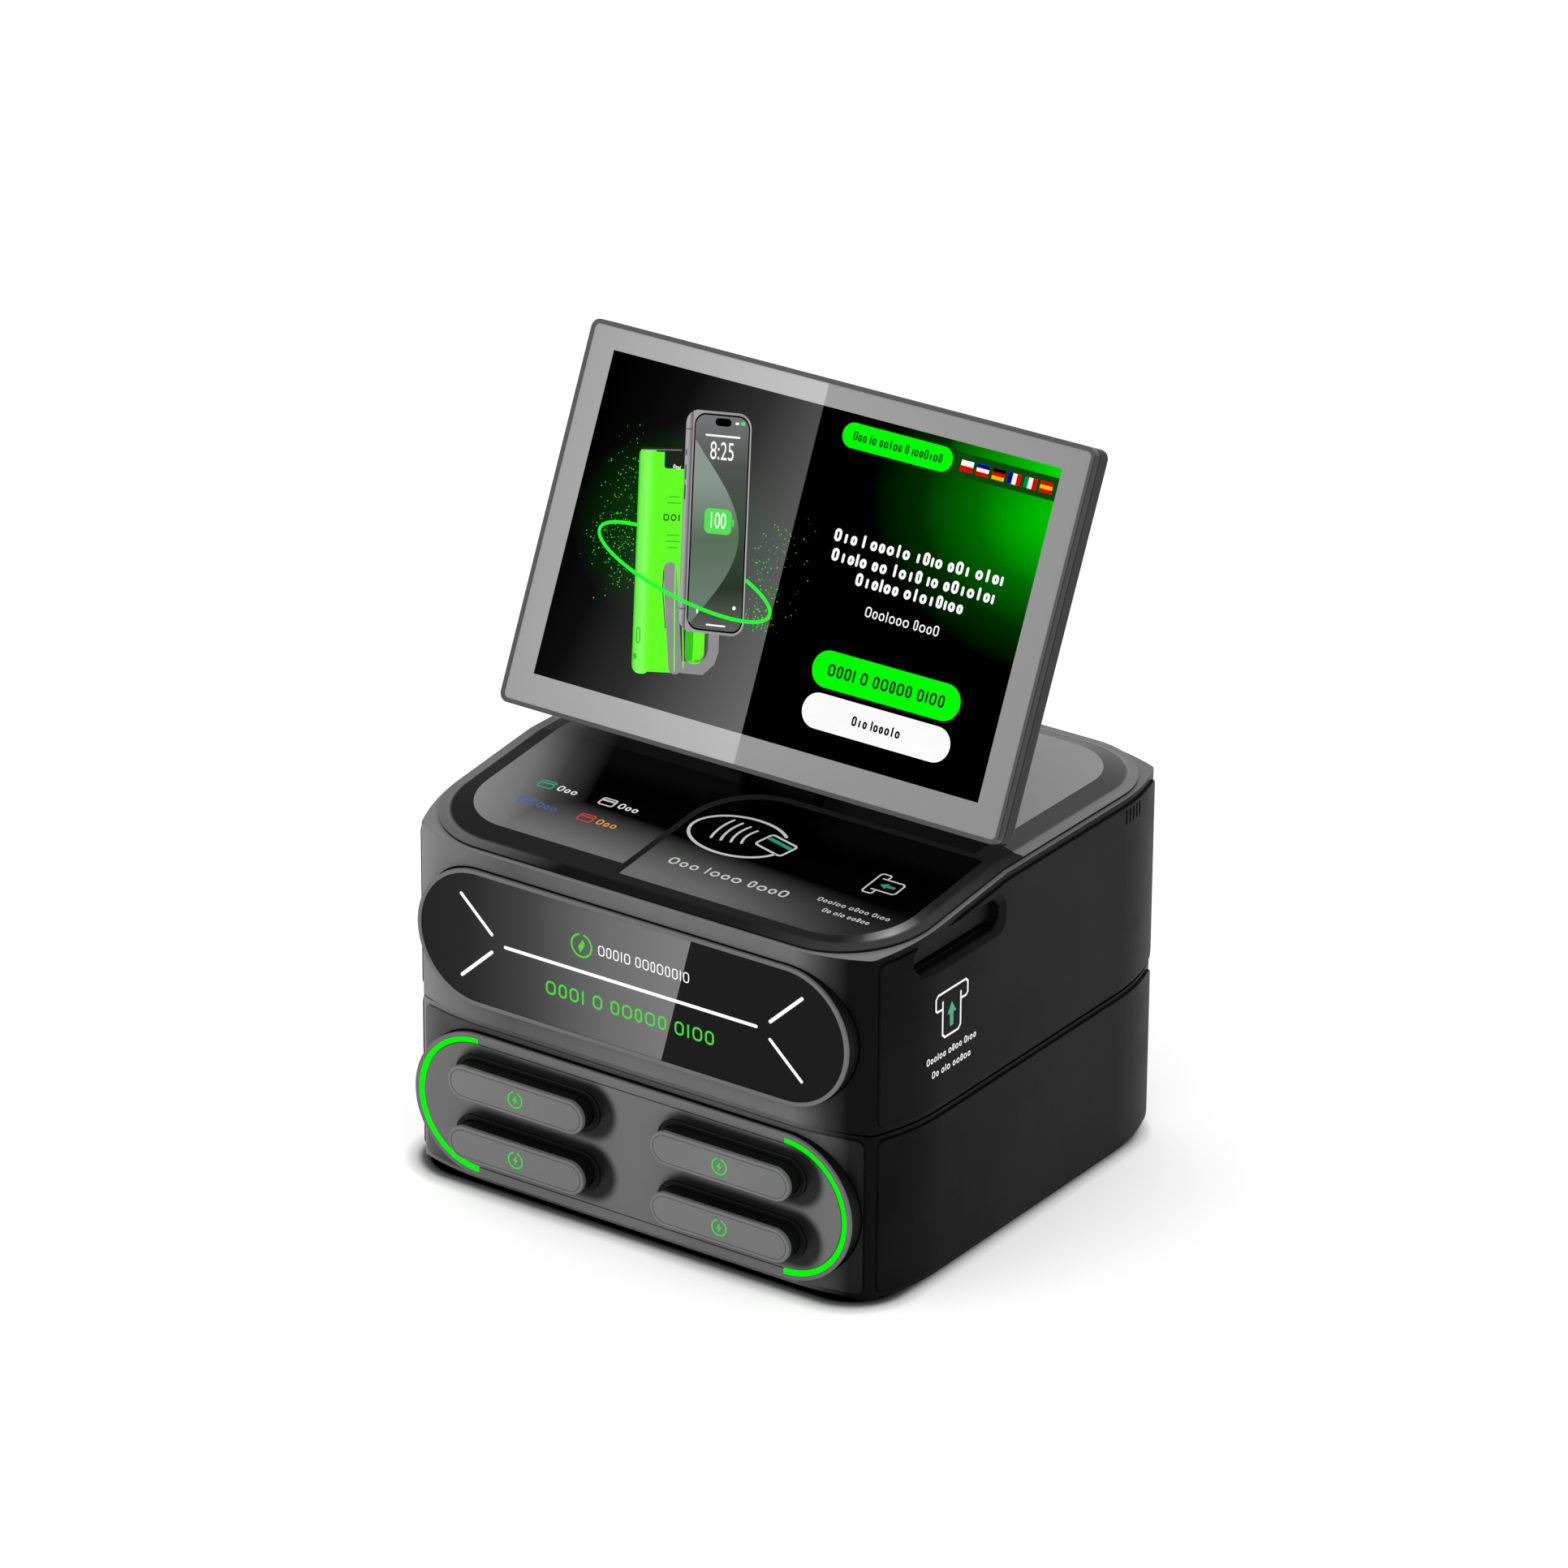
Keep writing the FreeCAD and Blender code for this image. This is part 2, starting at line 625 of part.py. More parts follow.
# ---- top plates ------------------------------------------------------------
ring_z0 = roof_z + gasket_height
plate = slab(round_rect(ring_half_width, ring_half_depth, ring_radius, ring_z0), ring_thickness)
bevel_w = ring_half_width - ring_band
bevel_d = ring_half_depth - ring_band
bevel = Part.makeLoft([round_rect(bevel_w, bevel_d, ring_radius - ring_band, ring_top),
                       round_rect(bevel_w - bevel_band, bevel_d - bevel_band, plateau_radius, plateau_z)],
                      True, True)
plate = plate.fuse(bevel)
plate = plate.cut(slab(round_rect(bevel_w - bevel_band - 3, bevel_d - bevel_band - 3, plateau_radius - 3,
                                  ring_z0 - 1), plateau_z - top_plate_floor - ring_z0 + 1))
plate = creased(plate)
gasket = slab(round_rect(ring_half_width - gasket_inset, ring_half_depth - gasket_inset,
                         ring_radius - gasket_inset, roof_z), gasket_height)
gasket = gasket.cut(slab(round_rect(ring_half_width - 9, ring_half_depth - 9, ring_radius - 9, roof_z - 1),
                         gasket_height + 2))
gasket = creased(gasket)
rear_top = plate.common(box(-far, far, split_y + cover_gap, far, 0, far))
front_top = plate.common(box(-far, far, -far, split_y - cover_gap, 0, far))


def pad_wire(z, grow):
    left = pad_left - grow
    rear = crease_y - pad_wall_run - 0.3 + grow
    r = pad_corner + grow
    k = r * (1 - math.sqrt(0.5))
    a = V(left, rear - r, z)
    m = V(left + k, rear - k, z)
    b = V(left + r, rear, z)
    c = V(far, rear, z)
    d = V(far, -far, z)
    e = V(left, -far, z)
    return Part.Wire([Part.Arc(a, m, b).toShape(), Part.makeLine(b, c), Part.makeLine(c, d),
                      Part.makeLine(d, e), Part.makeLine(e, a)])


pad_floor_z = plateau_z - pad_depth
pad_cut = sheared(Part.makeLoft([pad_wire(pad_floor_z, 0), pad_wire(plateau_z + pad_depth, 2 * pad_wall_run)],
                                True, True))
front_top = front_top.cut(pad_cut)

antenna_z = plateau_z - top_plate_floor - 1.6
antenna = slab(round_rect(32, 24, 4, antenna_z, crease_y - 46), 1.6)
antenna = antenna.cut(slab(round_rect(26, 18, 2, antenna_z - 1, crease_y - 46), 4))
antenna.translate(V(34, 0, 0))
antenna = sheared(antenna)

# ---- sign ------------------------------------------------------------------
sheet_back_y = face_y + face_sheet
sign_body = stadium_block(sign_straight_half, sign_radius, sheet_back_y, face_y + sign_depth, 0, sign_z)
sign_body = sign_body.cut(stadium_block(sign_straight_half, sign_radius - sign_wall, sheet_back_y,
                                        face_y + sign_depth - sign_wall, 0, sign_z))
sign_flange = stadium_ring(sign_straight_half, sign_radius + flange_reach, sign_radius - sign_wall,
                           face_y, face_y + sign_depth, 0, sign_z)
sign_flange = sign_flange.common(body_block(wall, upper_foot_z + lip_height + 0.3, roof_z))
sign_flange = sign_flange.cut(above_roof(wall))
sign_body = sign_body.fuse(sign_flange.cut(body_block(wall + flange_thickness, 0, roof_z))).removeSplitter()
sign_rim = stadium_ring(sign_straight_half, sign_radius, sign_radius - sign_rim_width, face_y, sheet_back_y,
                        0, sign_z)
sign_window = stadium_block(sign_straight_half, sign_radius - sign_rim_width, sheet_back_y - window_thickness,
                            sheet_back_y, 0, sign_z)

# ---- slot face -------------------------------------------------------------
slots = []
for i, (sx, sz) in enumerate(((-1, 1), (1, 1), (-1, -1), (1, -1))):
    slots.append((i + 1, sx * slot_pitch_x / 2, bezel_z + sz * slot_pitch_z / 2, sx))

bezel_face = stadium_block(bezel_straight_half, bezel_radius, face_y, sheet_back_y, 0, bezel_z)
light_outer = light_radius + light_width / 2
light_inner = light_radius - light_width / 2
light_ring = stadium_ring(bezel_straight_half, light_outer, light_inner, face_y, face_y + light_depth,
                          0, bezel_z)
ends = box(bezel_straight_half, far, -far, far, 0, far).fuse(box(-far, -bezel_straight_half, -far, far, 0, far))
light_guides = light_ring.common(ends)
groove = stadium_ring(bezel_straight_half, light_inner, light_inner - groove_width, face_y,
                      face_y + light_depth, 0, bezel_z)
bezel_face = bezel_face.cut(light_guides).cut(groove)
bezel_body = stadium_block(bezel_straight_half, bezel_radius - bezel_body_inset, sheet_back_y,
                           face_y + bezel_depth, 0, bezel_z)
bezel_body = bezel_body.cut(stadium_block(bezel_straight_half, bezel_radius - bezel_body_inset - 2,
                                          sheet_back_y + bezel_plate, face_y + bezel_depth, 0, bezel_z))
bezel_inner_radius = bezel_radius - bezel_body_inset
bezel_flange = stadium_ring(bezel_straight_half, bezel_inner_radius + flange_reach, bezel_inner_radius - 2,
                            face_y, face_y + bezel_depth, 0, bezel_z)
flange_low = base_top + 0.3
flange_high = lower_head_z - lip_height - 0.3
bezel_flange = bezel_flange.common(body_block(wall, flange_low, flange_high, lower_front_half))
bezel_flange = bezel_flange.cut(body_block(wall + flange_thickness, 0, roof_z, lower_front_half))
bezel_body = bezel_body.fuse(bezel_flange).removeSplitter()

collars = []
carrier_y = (face_y + 20, sleeve_rear_y - 8)
carrier_half_width = sleeve_side_x + 7
carriers = [box(-carrier_half_width, carrier_half_width, y, y + 2.5, base_top, rib_top) for y in carrier_y]
contact_blocks = []
motors = []
for number, xc, zc, sx in slots:
    collar_y0 = face_y - collar_proud
    hole = stadium_block(collar_straight_half, collar_radius, face_y - 2, face_y + 8, xc, zc)
    bezel_face = bezel_face.cut(hole)
    bezel_body = bezel_body.cut(hole)
    collar = stadium_block(collar_straight_half, collar_radius, collar_y0, sleeve_front_y, xc, zc)
    rim_edges = [e for e in collar.Edges if all(abs(v.Y - collar_y0) < 0.01 for v in e.Vertexes)]
    collar = collar.makeChamfer(0.4, rim_edges)
    collar_bore = stadium_block(bank_straight_half, bore_radius, collar_y0 - 1, sleeve_front_y + 1, xc, zc)
    collar = collar.cut(collar_bore)
    collars.append(collar)

    skin_radius = bore_radius + sleeve_wall
    sleeve = stadium_ring(bank_straight_half, skin_radius, bore_radius, sleeve_front_y, sleeve_rear_y, xc, zc)
    tooth_y = lock_y - lock_arm
    side_x = xc + sx * (bank_straight_half + bank_radius)
    window = box(-6, 6, -lock_notch_length / 2 - 1, lock_notch_length / 2 + 1, -2.6, 2.6)
    window.translate(V(side_x, tooth_y + lock_notch_shift, zc))
    sleeve = sleeve.cut(window)
    save(sleeve.removeSplitter(), "slot_sleeve_%d" % number)
    for k in range(2):
        seat = stadium_block(bank_straight_half, skin_radius, carrier_y[k] - 1, carrier_y[k] + 4, xc, zc)
        carriers[k] = carriers[k].cut(seat)

    # power bank: shell with lock notch, front cap and tail contacts
    shell = stadium_block(bank_straight_half, bank_radius, bank_front_y, bank_rear_y, xc, zc)
    tail_edges = [e for e in shell.Edges if all(abs(v.Y - bank_rear_y) < 0.01 for v in e.Vertexes)]
    shell = shell.makeFillet(1.5, tail_edges)
    notch = box(-lock_notch_depth, lock_notch_depth, -lock_notch_length / 2, lock_notch_length / 2, -2.6, 2.6)
    notch.translate(V(side_x, tooth_y + lock_notch_shift, zc))
    shell = shell.cut(notch)
    tail = box(xc - 13, xc + 13, bank_rear_y - 1.2, bank_rear_y + 1, zc - 3, zc + 3)
    shell = shell.cut(tail).removeSplitter()
    contacts = box(xc - 13, xc + 13, bank_rear_y - 1.2, bank_rear_y - 0.5, zc - 3, zc + 3)
    for k in range(5):
        pad_x = xc - 10 + k * 5
        pad = box(pad_x - 1.5, pad_x + 1.5, bank_rear_y - 0.5, bank_rear_y - 0.2, zc - 2, zc + 2)
        contacts = contacts.fuse(pad)
    cap = stadium_block(bank_straight_half, cap_radius, cap_face_y, bank_front_y, xc, zc)
    cap_edges = [e for e in cap.Edges if all(abs(v.Y - cap_face_y) < 0.01 for v in e.Vertexes)]
    cap = cap.makeFillet(0.5, cap_edges)
    line_r = cap_radius - cap_line_inset
    cap = cap.cut(stadium_ring(bank_straight_half, line_r, line_r - 0.3, cap_face_y, cap_face_y + 0.3, xc, zc))
    cap = cap.cut(charge_mark(xc, zc))
    save(shell, "power_bank_shell_%d" % number)
    save(cap, "power_bank_cap_%d" % number)
    save(contacts, "power_bank_contacts_%d" % number)

    block = stadium_block(bank_straight_half, skin_radius, sleeve_rear_y, sleeve_rear_y + 7, xc, zc)
    for k in range(5):
        pad_x = xc - 10 + k * 5
        block = block.fuse(rod(0.8, V(pad_x, bank_rear_y - 0.2 + contact_gap, zc), V(0, 1, 0), 6))
    contact_blocks.append(block)

    # lock hook: swings about a vertical pin beside the slot
    pivot = V(sx * lock_pivot_x, lock_y, zc - lock_thickness / 2)
    hook = rod(lock_boss_radius, pivot, V(0, 0, 1), lock_thickness)
    hook = hook.fuse(box(pivot.x - 1.5, pivot.x + 1.5, lock_y - lock_arm - 1.5, lock_y, pivot.z,
                         pivot.z + lock_thickness))
    tooth_x0, tooth_x1 = sorted((pivot.x, sx * (lock_pivot_x - lock_tooth_length)))
    hook = hook.fuse(box(tooth_x0, tooth_x1, tooth_y - lock_tooth / 2, tooth_y + lock_tooth / 2, pivot.z,
                         pivot.z + lock_thickness))
    hook = hook.cut(rod(lock_pin_radius + lock_pin_clearance, pivot - V(0, 0, 5), V(0, 0, 1), 15))
    save(hook.removeSplitter(), "lock_hook_%d" % number)
    motor_x0, motor_x1 = sorted((sx * motor_x, sx * (motor_x + motor_width)))
    motor = box(motor_x0, motor_x1, lock_y - 6, lock_y + 16, zc - 11, zc - lock_thickness / 2 - 0.3)
    pin_length = 4 + lock_thickness / 2 + 1.5
    motor = motor.fuse(rod(lock_pin_radius, V(pivot.x, lock_y, zc - 4), V(0, 0, 1), pin_length))
    motors.append(motor.removeSplitter())

# ---- card pocket and reader ------------------------------------------------
cup = Part.Face(pocket_wire(pocket_back_x - pocket_back, -pocket_chamfer + pocket_wall))
cup = cup.extrude(V(pocket_back + pocket_depth + 2, 0, 0))
cup = cup.common(body_block(wall, 100, roof_z).cut(above_roof(wall)))
card_pocket = cup.cut(pocket_void).cut(card_slot).removeSplitter()
reader_x1 = pocket_back_x - pocket_back
reader = box(reader_x1 - reader_depth, reader_x1, pocket_mid_y - card_slot_width / 2 - 4,
             pocket_mid_y + card_slot_width / 2 + 4, slot_low - 7, slot_low + card_slot_height + 3)
card_reader = reader.cut(card_slot_inner)
speaker_y = vent_front + 5
speaker_z = vent_top - 14
speaker_x = body_half_width - wall - 14
speaker = rod(13.0, V(speaker_x, speaker_y, speaker_z), V(1, 0, 0), 14)
speaker = speaker.cut(rod(11.0, V(speaker_x + 3, speaker_y, speaker_z), V(1, 0, 0), 20))
speaker = speaker.fuse(box(speaker_x - 9, speaker_x, speaker_y - 16, speaker_y + 16, speaker_z - 15,
                           speaker_z + 13))
speaker = speaker.common(body_block(wall, 100, roof_z - wall)).removeSplitter()

# ---- boards and supply -----------------------------------------------------
board_y = inner_face_y - 14
main_board = box(-60, 30, board_y, board_y + 1.6, 66, 126)
for bx, bz, w, h, d in ((-40, 80, 22, 22, 3), (0, 104, 14, 14, 2), (-10, 76, 30, 8, 8), (12, 84, 12, 12, 2)):
    main_board = main_board.fuse(box(bx, bx + w, board_y - d, board_y, bz, bz + h))
for sx in (-55, 25):
    for z in (70, 108):
        main_board = main_board.fuse(rod(2.5, V(sx, board_y, z), V(0, 1, 0), inner_face_y - board_y))
power_supply = box(-62, 20, board_y - 38, board_y + 6, base_top, base_top + 2)
power_supply = power_supply.fuse(box(-58, 16, board_y - 34, board_y + 2, base_top + 2, base_top + 30))

# ---- screen, built flat then leaned back -----------------------------------
# local axes: X across, Y into the screen (0 = glass face), Z up the screen
def flat_rect(half_w, half_h, radius, y0, y1, drop=0.0):
    points = [V(-half_w, y0, -half_h + drop), V(half_w, y0, -half_h + drop),
              V(half_w, y0, half_h + drop), V(-half_w, y0, half_h + drop)]
    return Part.Face(rounded_profile(points, radius)).extrude(V(0, y1 - y0, 0))


glass_w = screen_half_width - glass_rim
glass_h = screen_half_height - glass_rim
frame = flat_rect(screen_half_width, screen_half_height, screen_corner, -frame_proud, frame_depth)
frame = frame.cut(flat_rect(glass_w, glass_h, screen_corner - glass_rim, -1, glass_thickness))
frame = frame.cut(flat_rect(lcd_half_width + 0.3, lcd_half_height + 0.3, 1.0, 0, frame_depth + 1))
glass = flat_rect(glass_w, glass_h, screen_corner - glass_rim, 0, glass_thickness)
lcd = flat_rect(lcd_half_width, lcd_half_height, 1.0, glass_thickness, glass_thickness + lcd_thickness)
casing = flat_rect(screen_half_width, screen_half_height, screen_corner, frame_depth + shadow_line,
                   casing_depth)
back_edges = [e for e in casing.Edges if all(abs(v.Y - casing_depth) < 0.01 for v in e.Vertexes)]
casing = casing.makeFillet(2.0, back_edges)
casing = casing.fuse(flat_rect(screen_half_width - 1.2, screen_half_height - 1.2, screen_corner - 1.2,
                               frame_depth, frame_depth + shadow_line + 1))
casing_inset = 1.2 + casing_wall
casing = casing.cut(flat_rect(screen_half_width - casing_inset, screen_half_height - casing_inset, 1.5,
                              frame_depth - 1, casing_depth - casing_wall))
for i in range(12):
    x = -66 + i * 12
    casing = casing.cut(box(x, x + 8, casing_depth - 5, casing_depth + 1, 46, 48.4))
casing = casing.removeSplitter()
driver = box(-70, 50, glass_thickness + lcd_thickness, glass_thickness + lcd_thickness + 1.6, -30, 40)
for bx, bz, w, h in ((-50, -10, 20, 20), (-10, 8, 16, 16), (20, -20, 12, 26)):
    driver = driver.fuse(box(bx, bx + w, glass_thickness + lcd_thickness + 1.6,
                             glass_thickness + lcd_thickness + 3.6, bz, bz + h))

pivot_local_y = casing_depth + pivot_behind_back
pivot_local_z = -screen_half_height + pivot_above_bottom
leaf = box(-leaf_half_width, leaf_half_width, casing_depth, casing_depth + leaf_thickness,
           pivot_local_z - 9, pivot_local_z + 22)
knuckle = rod(knuckle_radius, V(-knuckle_half_width, pivot_local_y, pivot_local_z), V(1, 0, 0),
              2 * knuckle_half_width)
leaf = leaf.fuse(box(-knuckle_half_width, knuckle_half_width, casing_depth, pivot_local_y,
                     pivot_local_z - knuckle_radius, pivot_local_z + knuckle_radius)).fuse(knuckle)
leaf = leaf.cut(rod(hinge_pin_radius + hinge_pin_clearance, V(-far / 2, pivot_local_y, pivot_local_z),
                    V(1, 0, 0), far)).removeSplitter()

lean = FreeCAD.Placement(V(0, body_y + screen_centre_from_body, screen_centre_z),
                         FreeCAD.Rotation(V(1, 0, 0), -screen_lean))
screen_parts = {"screen_frame": frame, "touch_glass": glass, "lcd_panel": lcd, "screen_back_cover": casing,
                "screen_board": driver, "hinge_leaf": leaf}
for node, shape in screen_parts.items():
    shape.Placement = lean
    save(shape, node)
pivot_point = lean.multVec(V(0, pivot_local_y, pivot_local_z))

# ---- hinge base on the rear top plate --------------------------------------
base_plate_top = plateau_z + 3.0
ear_x0 = knuckle_half_width + ear_gap
hinge_base = box(-26, 26, split_y + 1, split_y + 27, plateau_z, base_plate_top)
for sx in (-1, 1):
    x0, x1 = sorted((sx * ear_x0, sx * (ear_x0 + ear_width)))
    ear = rod(ear_radius, V(x0, pivot_point.y, pivot_point.z), V(1, 0, 0), ear_width)
    web = Part.makePolygon([V(x0, pivot_point.y - ear_radius * 0.8, pivot_point.z - ear_radius * 0.6),
                            V(x0, split_y + 1, base_plate_top - 1), V(x0, split_y + 24, base_plate_top - 1),
                            V(x0, pivot_point.y + ear_radius * 0.8, pivot_point.z + ear_radius * 0.6),
                            V(x0, pivot_point.y - ear_radius * 0.8, pivot_point.z - ear_radius * 0.6)])
    hinge_base = hinge_base.fuse(ear).fuse(Part.Face(web).extrude(V(ear_width, 0, 0)))
pin_half = ear_x0 + ear_width
hinge_base = hinge_base.cut(rod(hinge_pin_radius, V(-far / 2, pivot_point.y, pivot_point.z), V(1, 0, 0), far))
hinge_base = hinge_base.removeSplitter()
hinge_pin = rod(hinge_pin_radius, V(-pin_half - 0.5, pivot_point.y, pivot_point.z), V(1, 0, 0),
                2 * pin_half + 1)

# ---- files -----------------------------------------------------------------
save(Part.makeCompound(feet), "rubber_feet")
save(base_tray.removeSplitter(), "base_tray")
save(lower_housing, "lower_housing")
save(front_panel, "lower_front_panel")
save(lower_panels["left"], "lower_side_panel_left")
save(lower_panels["right"], "lower_side_panel_right")
save(bezel_face.removeSplitter(), "slot_face_plate")
save(bezel_body.removeSplitter(), "slot_face_body")
save(light_guides, "slot_light_guides")
save(Part.makeCompound(collars), "slot_collars")
save(Part.makeCompound(carriers), "sleeve_carriers")
save(Part.makeCompound(contact_blocks), "slot_contact_blocks")
save(Part.makeCompound(motors), "lock_motors")
save(upper_housing, "upper_housing")
save(upper_panels["left"], "upper_side_panel_left")
save(upper_right.removeSplitter(), "upper_side_panel_right")
save(sign_rim, "sign_rim")
save(sign_body, "sign_body")
save(sign_window, "sign_window")
save(gasket, "top_plate_gasket")
save(front_top, "front_top_plate")
save(rear_top, "rear_top_plate")
save(antenna, "tap_antenna")
save(card_pocket, "card_pocket")
save(card_reader, "card_reader")
save(speaker, "speaker")
save(rear_panel.removeSplitter(), "rear_panel")
save(inlet, "power_inlet")
save(rocker, "switch_rocker")
save(main_board.removeSplitter(), "main_board")
save(power_supply.removeSplitter(), "power_supply")
save(Part.makeCompound(cover_screws), "cover_screws")
save(hinge_base, "hinge_base")
save(hinge_pin, "hinge_pin")
print("hinge axis y %.3f z %.3f" % (pivot_point.y, pivot_point.z))
print("rocker axis x %.3f y %.3f z %.3f" % (rocker_x, rocker_axis_y, inlet_z))
print("lock y %.3f x %.3f" % (lock_y, lock_pivot_x))
for number, xc, zc, sx in slots:
    print("slot %d x %.3f z %.3f" % (number, xc, zc))
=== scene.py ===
import bmesh
import bpy
import math
from mathutils import Matrix, Vector


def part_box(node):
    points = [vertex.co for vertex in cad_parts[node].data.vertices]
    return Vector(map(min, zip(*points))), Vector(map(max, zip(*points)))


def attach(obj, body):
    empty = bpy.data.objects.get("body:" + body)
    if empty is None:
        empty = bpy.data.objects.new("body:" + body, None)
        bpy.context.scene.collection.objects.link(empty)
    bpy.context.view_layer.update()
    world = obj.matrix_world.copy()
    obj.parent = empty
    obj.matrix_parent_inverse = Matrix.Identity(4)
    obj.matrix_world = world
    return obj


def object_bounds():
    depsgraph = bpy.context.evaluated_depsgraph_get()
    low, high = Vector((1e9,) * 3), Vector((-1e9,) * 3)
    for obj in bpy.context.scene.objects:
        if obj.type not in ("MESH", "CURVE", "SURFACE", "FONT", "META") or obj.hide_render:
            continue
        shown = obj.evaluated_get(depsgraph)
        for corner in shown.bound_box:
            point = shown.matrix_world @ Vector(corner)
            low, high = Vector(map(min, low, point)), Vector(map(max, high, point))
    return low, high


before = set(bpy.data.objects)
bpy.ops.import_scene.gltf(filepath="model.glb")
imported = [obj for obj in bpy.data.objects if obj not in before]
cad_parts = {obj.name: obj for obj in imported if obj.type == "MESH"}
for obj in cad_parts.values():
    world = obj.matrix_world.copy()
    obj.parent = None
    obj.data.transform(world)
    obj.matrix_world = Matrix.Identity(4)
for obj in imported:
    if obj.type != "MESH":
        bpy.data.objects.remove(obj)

bl_info = {
    "name": "Power bank station looks",
    "version": (1, 0, 0),
    "blender": (4, 5, 0),
    "location": "3D View > Sidebar > Station",
    "description": "Finishes, prints and screen picture for the power bank rental station",
    "category": "Object",
}


def middle(name):
    """Centre of a node's box."""
    low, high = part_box(name)
    return (Vector(low) + Vector(high)) / 2


MM = 0.001
CAD_BOX = [list(corner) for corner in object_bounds()]
CREASE = CAD_BOX[0][1] + 0.1005
TOP_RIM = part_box("rear_top_plate")[1][2] - 0.0027
SCREEN_SIDE = CAD_BOX[1][0] - 0.0006
CAP_ROUNDING = 0.0073
SLOT_X = middle("power_bank_cap_2").x
SLOT_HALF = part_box("power_bank_cap_2")[1][0] - SLOT_X - CAP_ROUNDING
SLOT_LOW = middle("power_bank_cap_3").z
SLOT_HIGH = middle("power_bank_cap_1").z
SLOT_Z = (SLOT_LOW + SLOT_HIGH) / 2
SLOT_STEP = SLOT_HIGH - SLOT_LOW
SLOT_SHADE_X = 0.0045   # the soft shade lies this far to the right of each bank
SLOT_SHADE_Z = 0.0008
PRINT_LIFT = 0.03 * MM
PRINT_THICKNESS = 0.02 * MM
SCREEN_STEP = 0.028 * MM
CORNER_STEPS = 8
DIGIT_LAYER = 12
FULL_DENSITY = 420000.0   # sparks in a square metre
FIRST_SEED = 5
FINISHES = {}
LEAN = math.radians(24.4)
ROOF_SLOPE = 0.113


# ---- properties ------------------------------------------------------------
def colour(name, description, default):
    return bpy.props.FloatVectorProperty(name=name, description=description, subtype="COLOR", size=3,
                                         min=0.0, max=1.0, default=default)


def length(name, description, default):
    return bpy.props.FloatProperty(name=name, description=description, subtype="DISTANCE", unit="LENGTH",
                                   default=default * MM, min=0.0)


def angle(name, description, degrees):
    return bpy.props.FloatProperty(name=name, description=description, subtype="ANGLE",
                                   default=math.radians(degrees))


class StationColours(bpy.types.PropertyGroup):
    """Colours of the station's finishes and prints."""
    shell: colour("Shell", "Moulded housings", (0.004, 0.004, 0.0042))
    # painted light: the grey that stands for light on the housings' front
    front: colour("Front", "Lit front of the housings", (0.125, 0.125, 0.126))
    face: colour("Slot face", "Plate around the power banks", (0.125, 0.125, 0.126))
    cap: colour("Cap", "Front caps of the power banks", (0.135, 0.135, 0.136))
    # painted highlight for the upward faces of the roof edge
    top: colour("Roof", "Roof edge of the upper housing", (0.19, 0.19, 0.191))
    glow: colour("Light", "Light guides and lit marks", (0.0, 1.0, 0.0))
    ink: colour("Ink", "White print", (0.86, 0.86, 0.86))
    lime: colour("Lime", "Green print on the sign", (0.085, 0.80, 0.06))
    mint: colour("Mint", "Green of the small pictograms", (0.005, 0.30, 0.16))


class StationSizes(bpy.types.PropertyGroup):
    """Sizes of the prints and the screen picture."""
    sign_line: length("Sign line", "Width of the sign's long white lines", 1.5)
    sign_text: length("Sign text", "Height of the sign's large text line", 6.0)
    mark_line: length("Mark line", "Width of the pictogram lines", 1.35)
    pill: length("Pill", "Height of the large screen buttons", 14.4)
    orbit: length("Orbit", "Width of the glowing ring on the screen", 1.5)
    sparkle: length("Sparkle", "Radius of the sparks round the glowing ring", 0.27)
    screw: length("Screw", "Radius of the screws in the screen's back", 2.4)


class StationStage(bpy.types.PropertyGroup):
    """Camera, light and floor."""
    azimuth: angle("Azimuth", "Camera turn to the right of the front", 34.88)
    elevation: angle("Elevation", "Camera height angle", 24.34)
    roll: angle("Roll", "Camera roll", 0.38)
    distance: length("Distance", "Camera distance from its target", 3352.4)
    lens: bpy.props.FloatProperty(name="Lens", description="Focal length on a 36 mm sensor, in millimetres",
                                  default=190.37)
    sky: bpy.props.FloatProperty(name="Sky", description="Strength of the surrounding light", default=1.0)
    key: bpy.props.FloatProperty(name="Key", description="Power of the front left soft light",
                                 subtype="POWER", default=40.0)


# ---- flat drawing ----------------------------------------------------------
class Plane:
    """A drawing plane on the station: origin, right, up and outward directions."""

    def __init__(self, origin, right, up):
        self.origin = Vector(origin)
        self.right = Vector(right).normalized()
        self.up = Vector(up).normalized()
        self.out = self.right.cross(self.up).normalized()

    def at(self, x, y, lift):
        return self.origin + self.right * x * MM + self.up * y * MM + self.out * lift


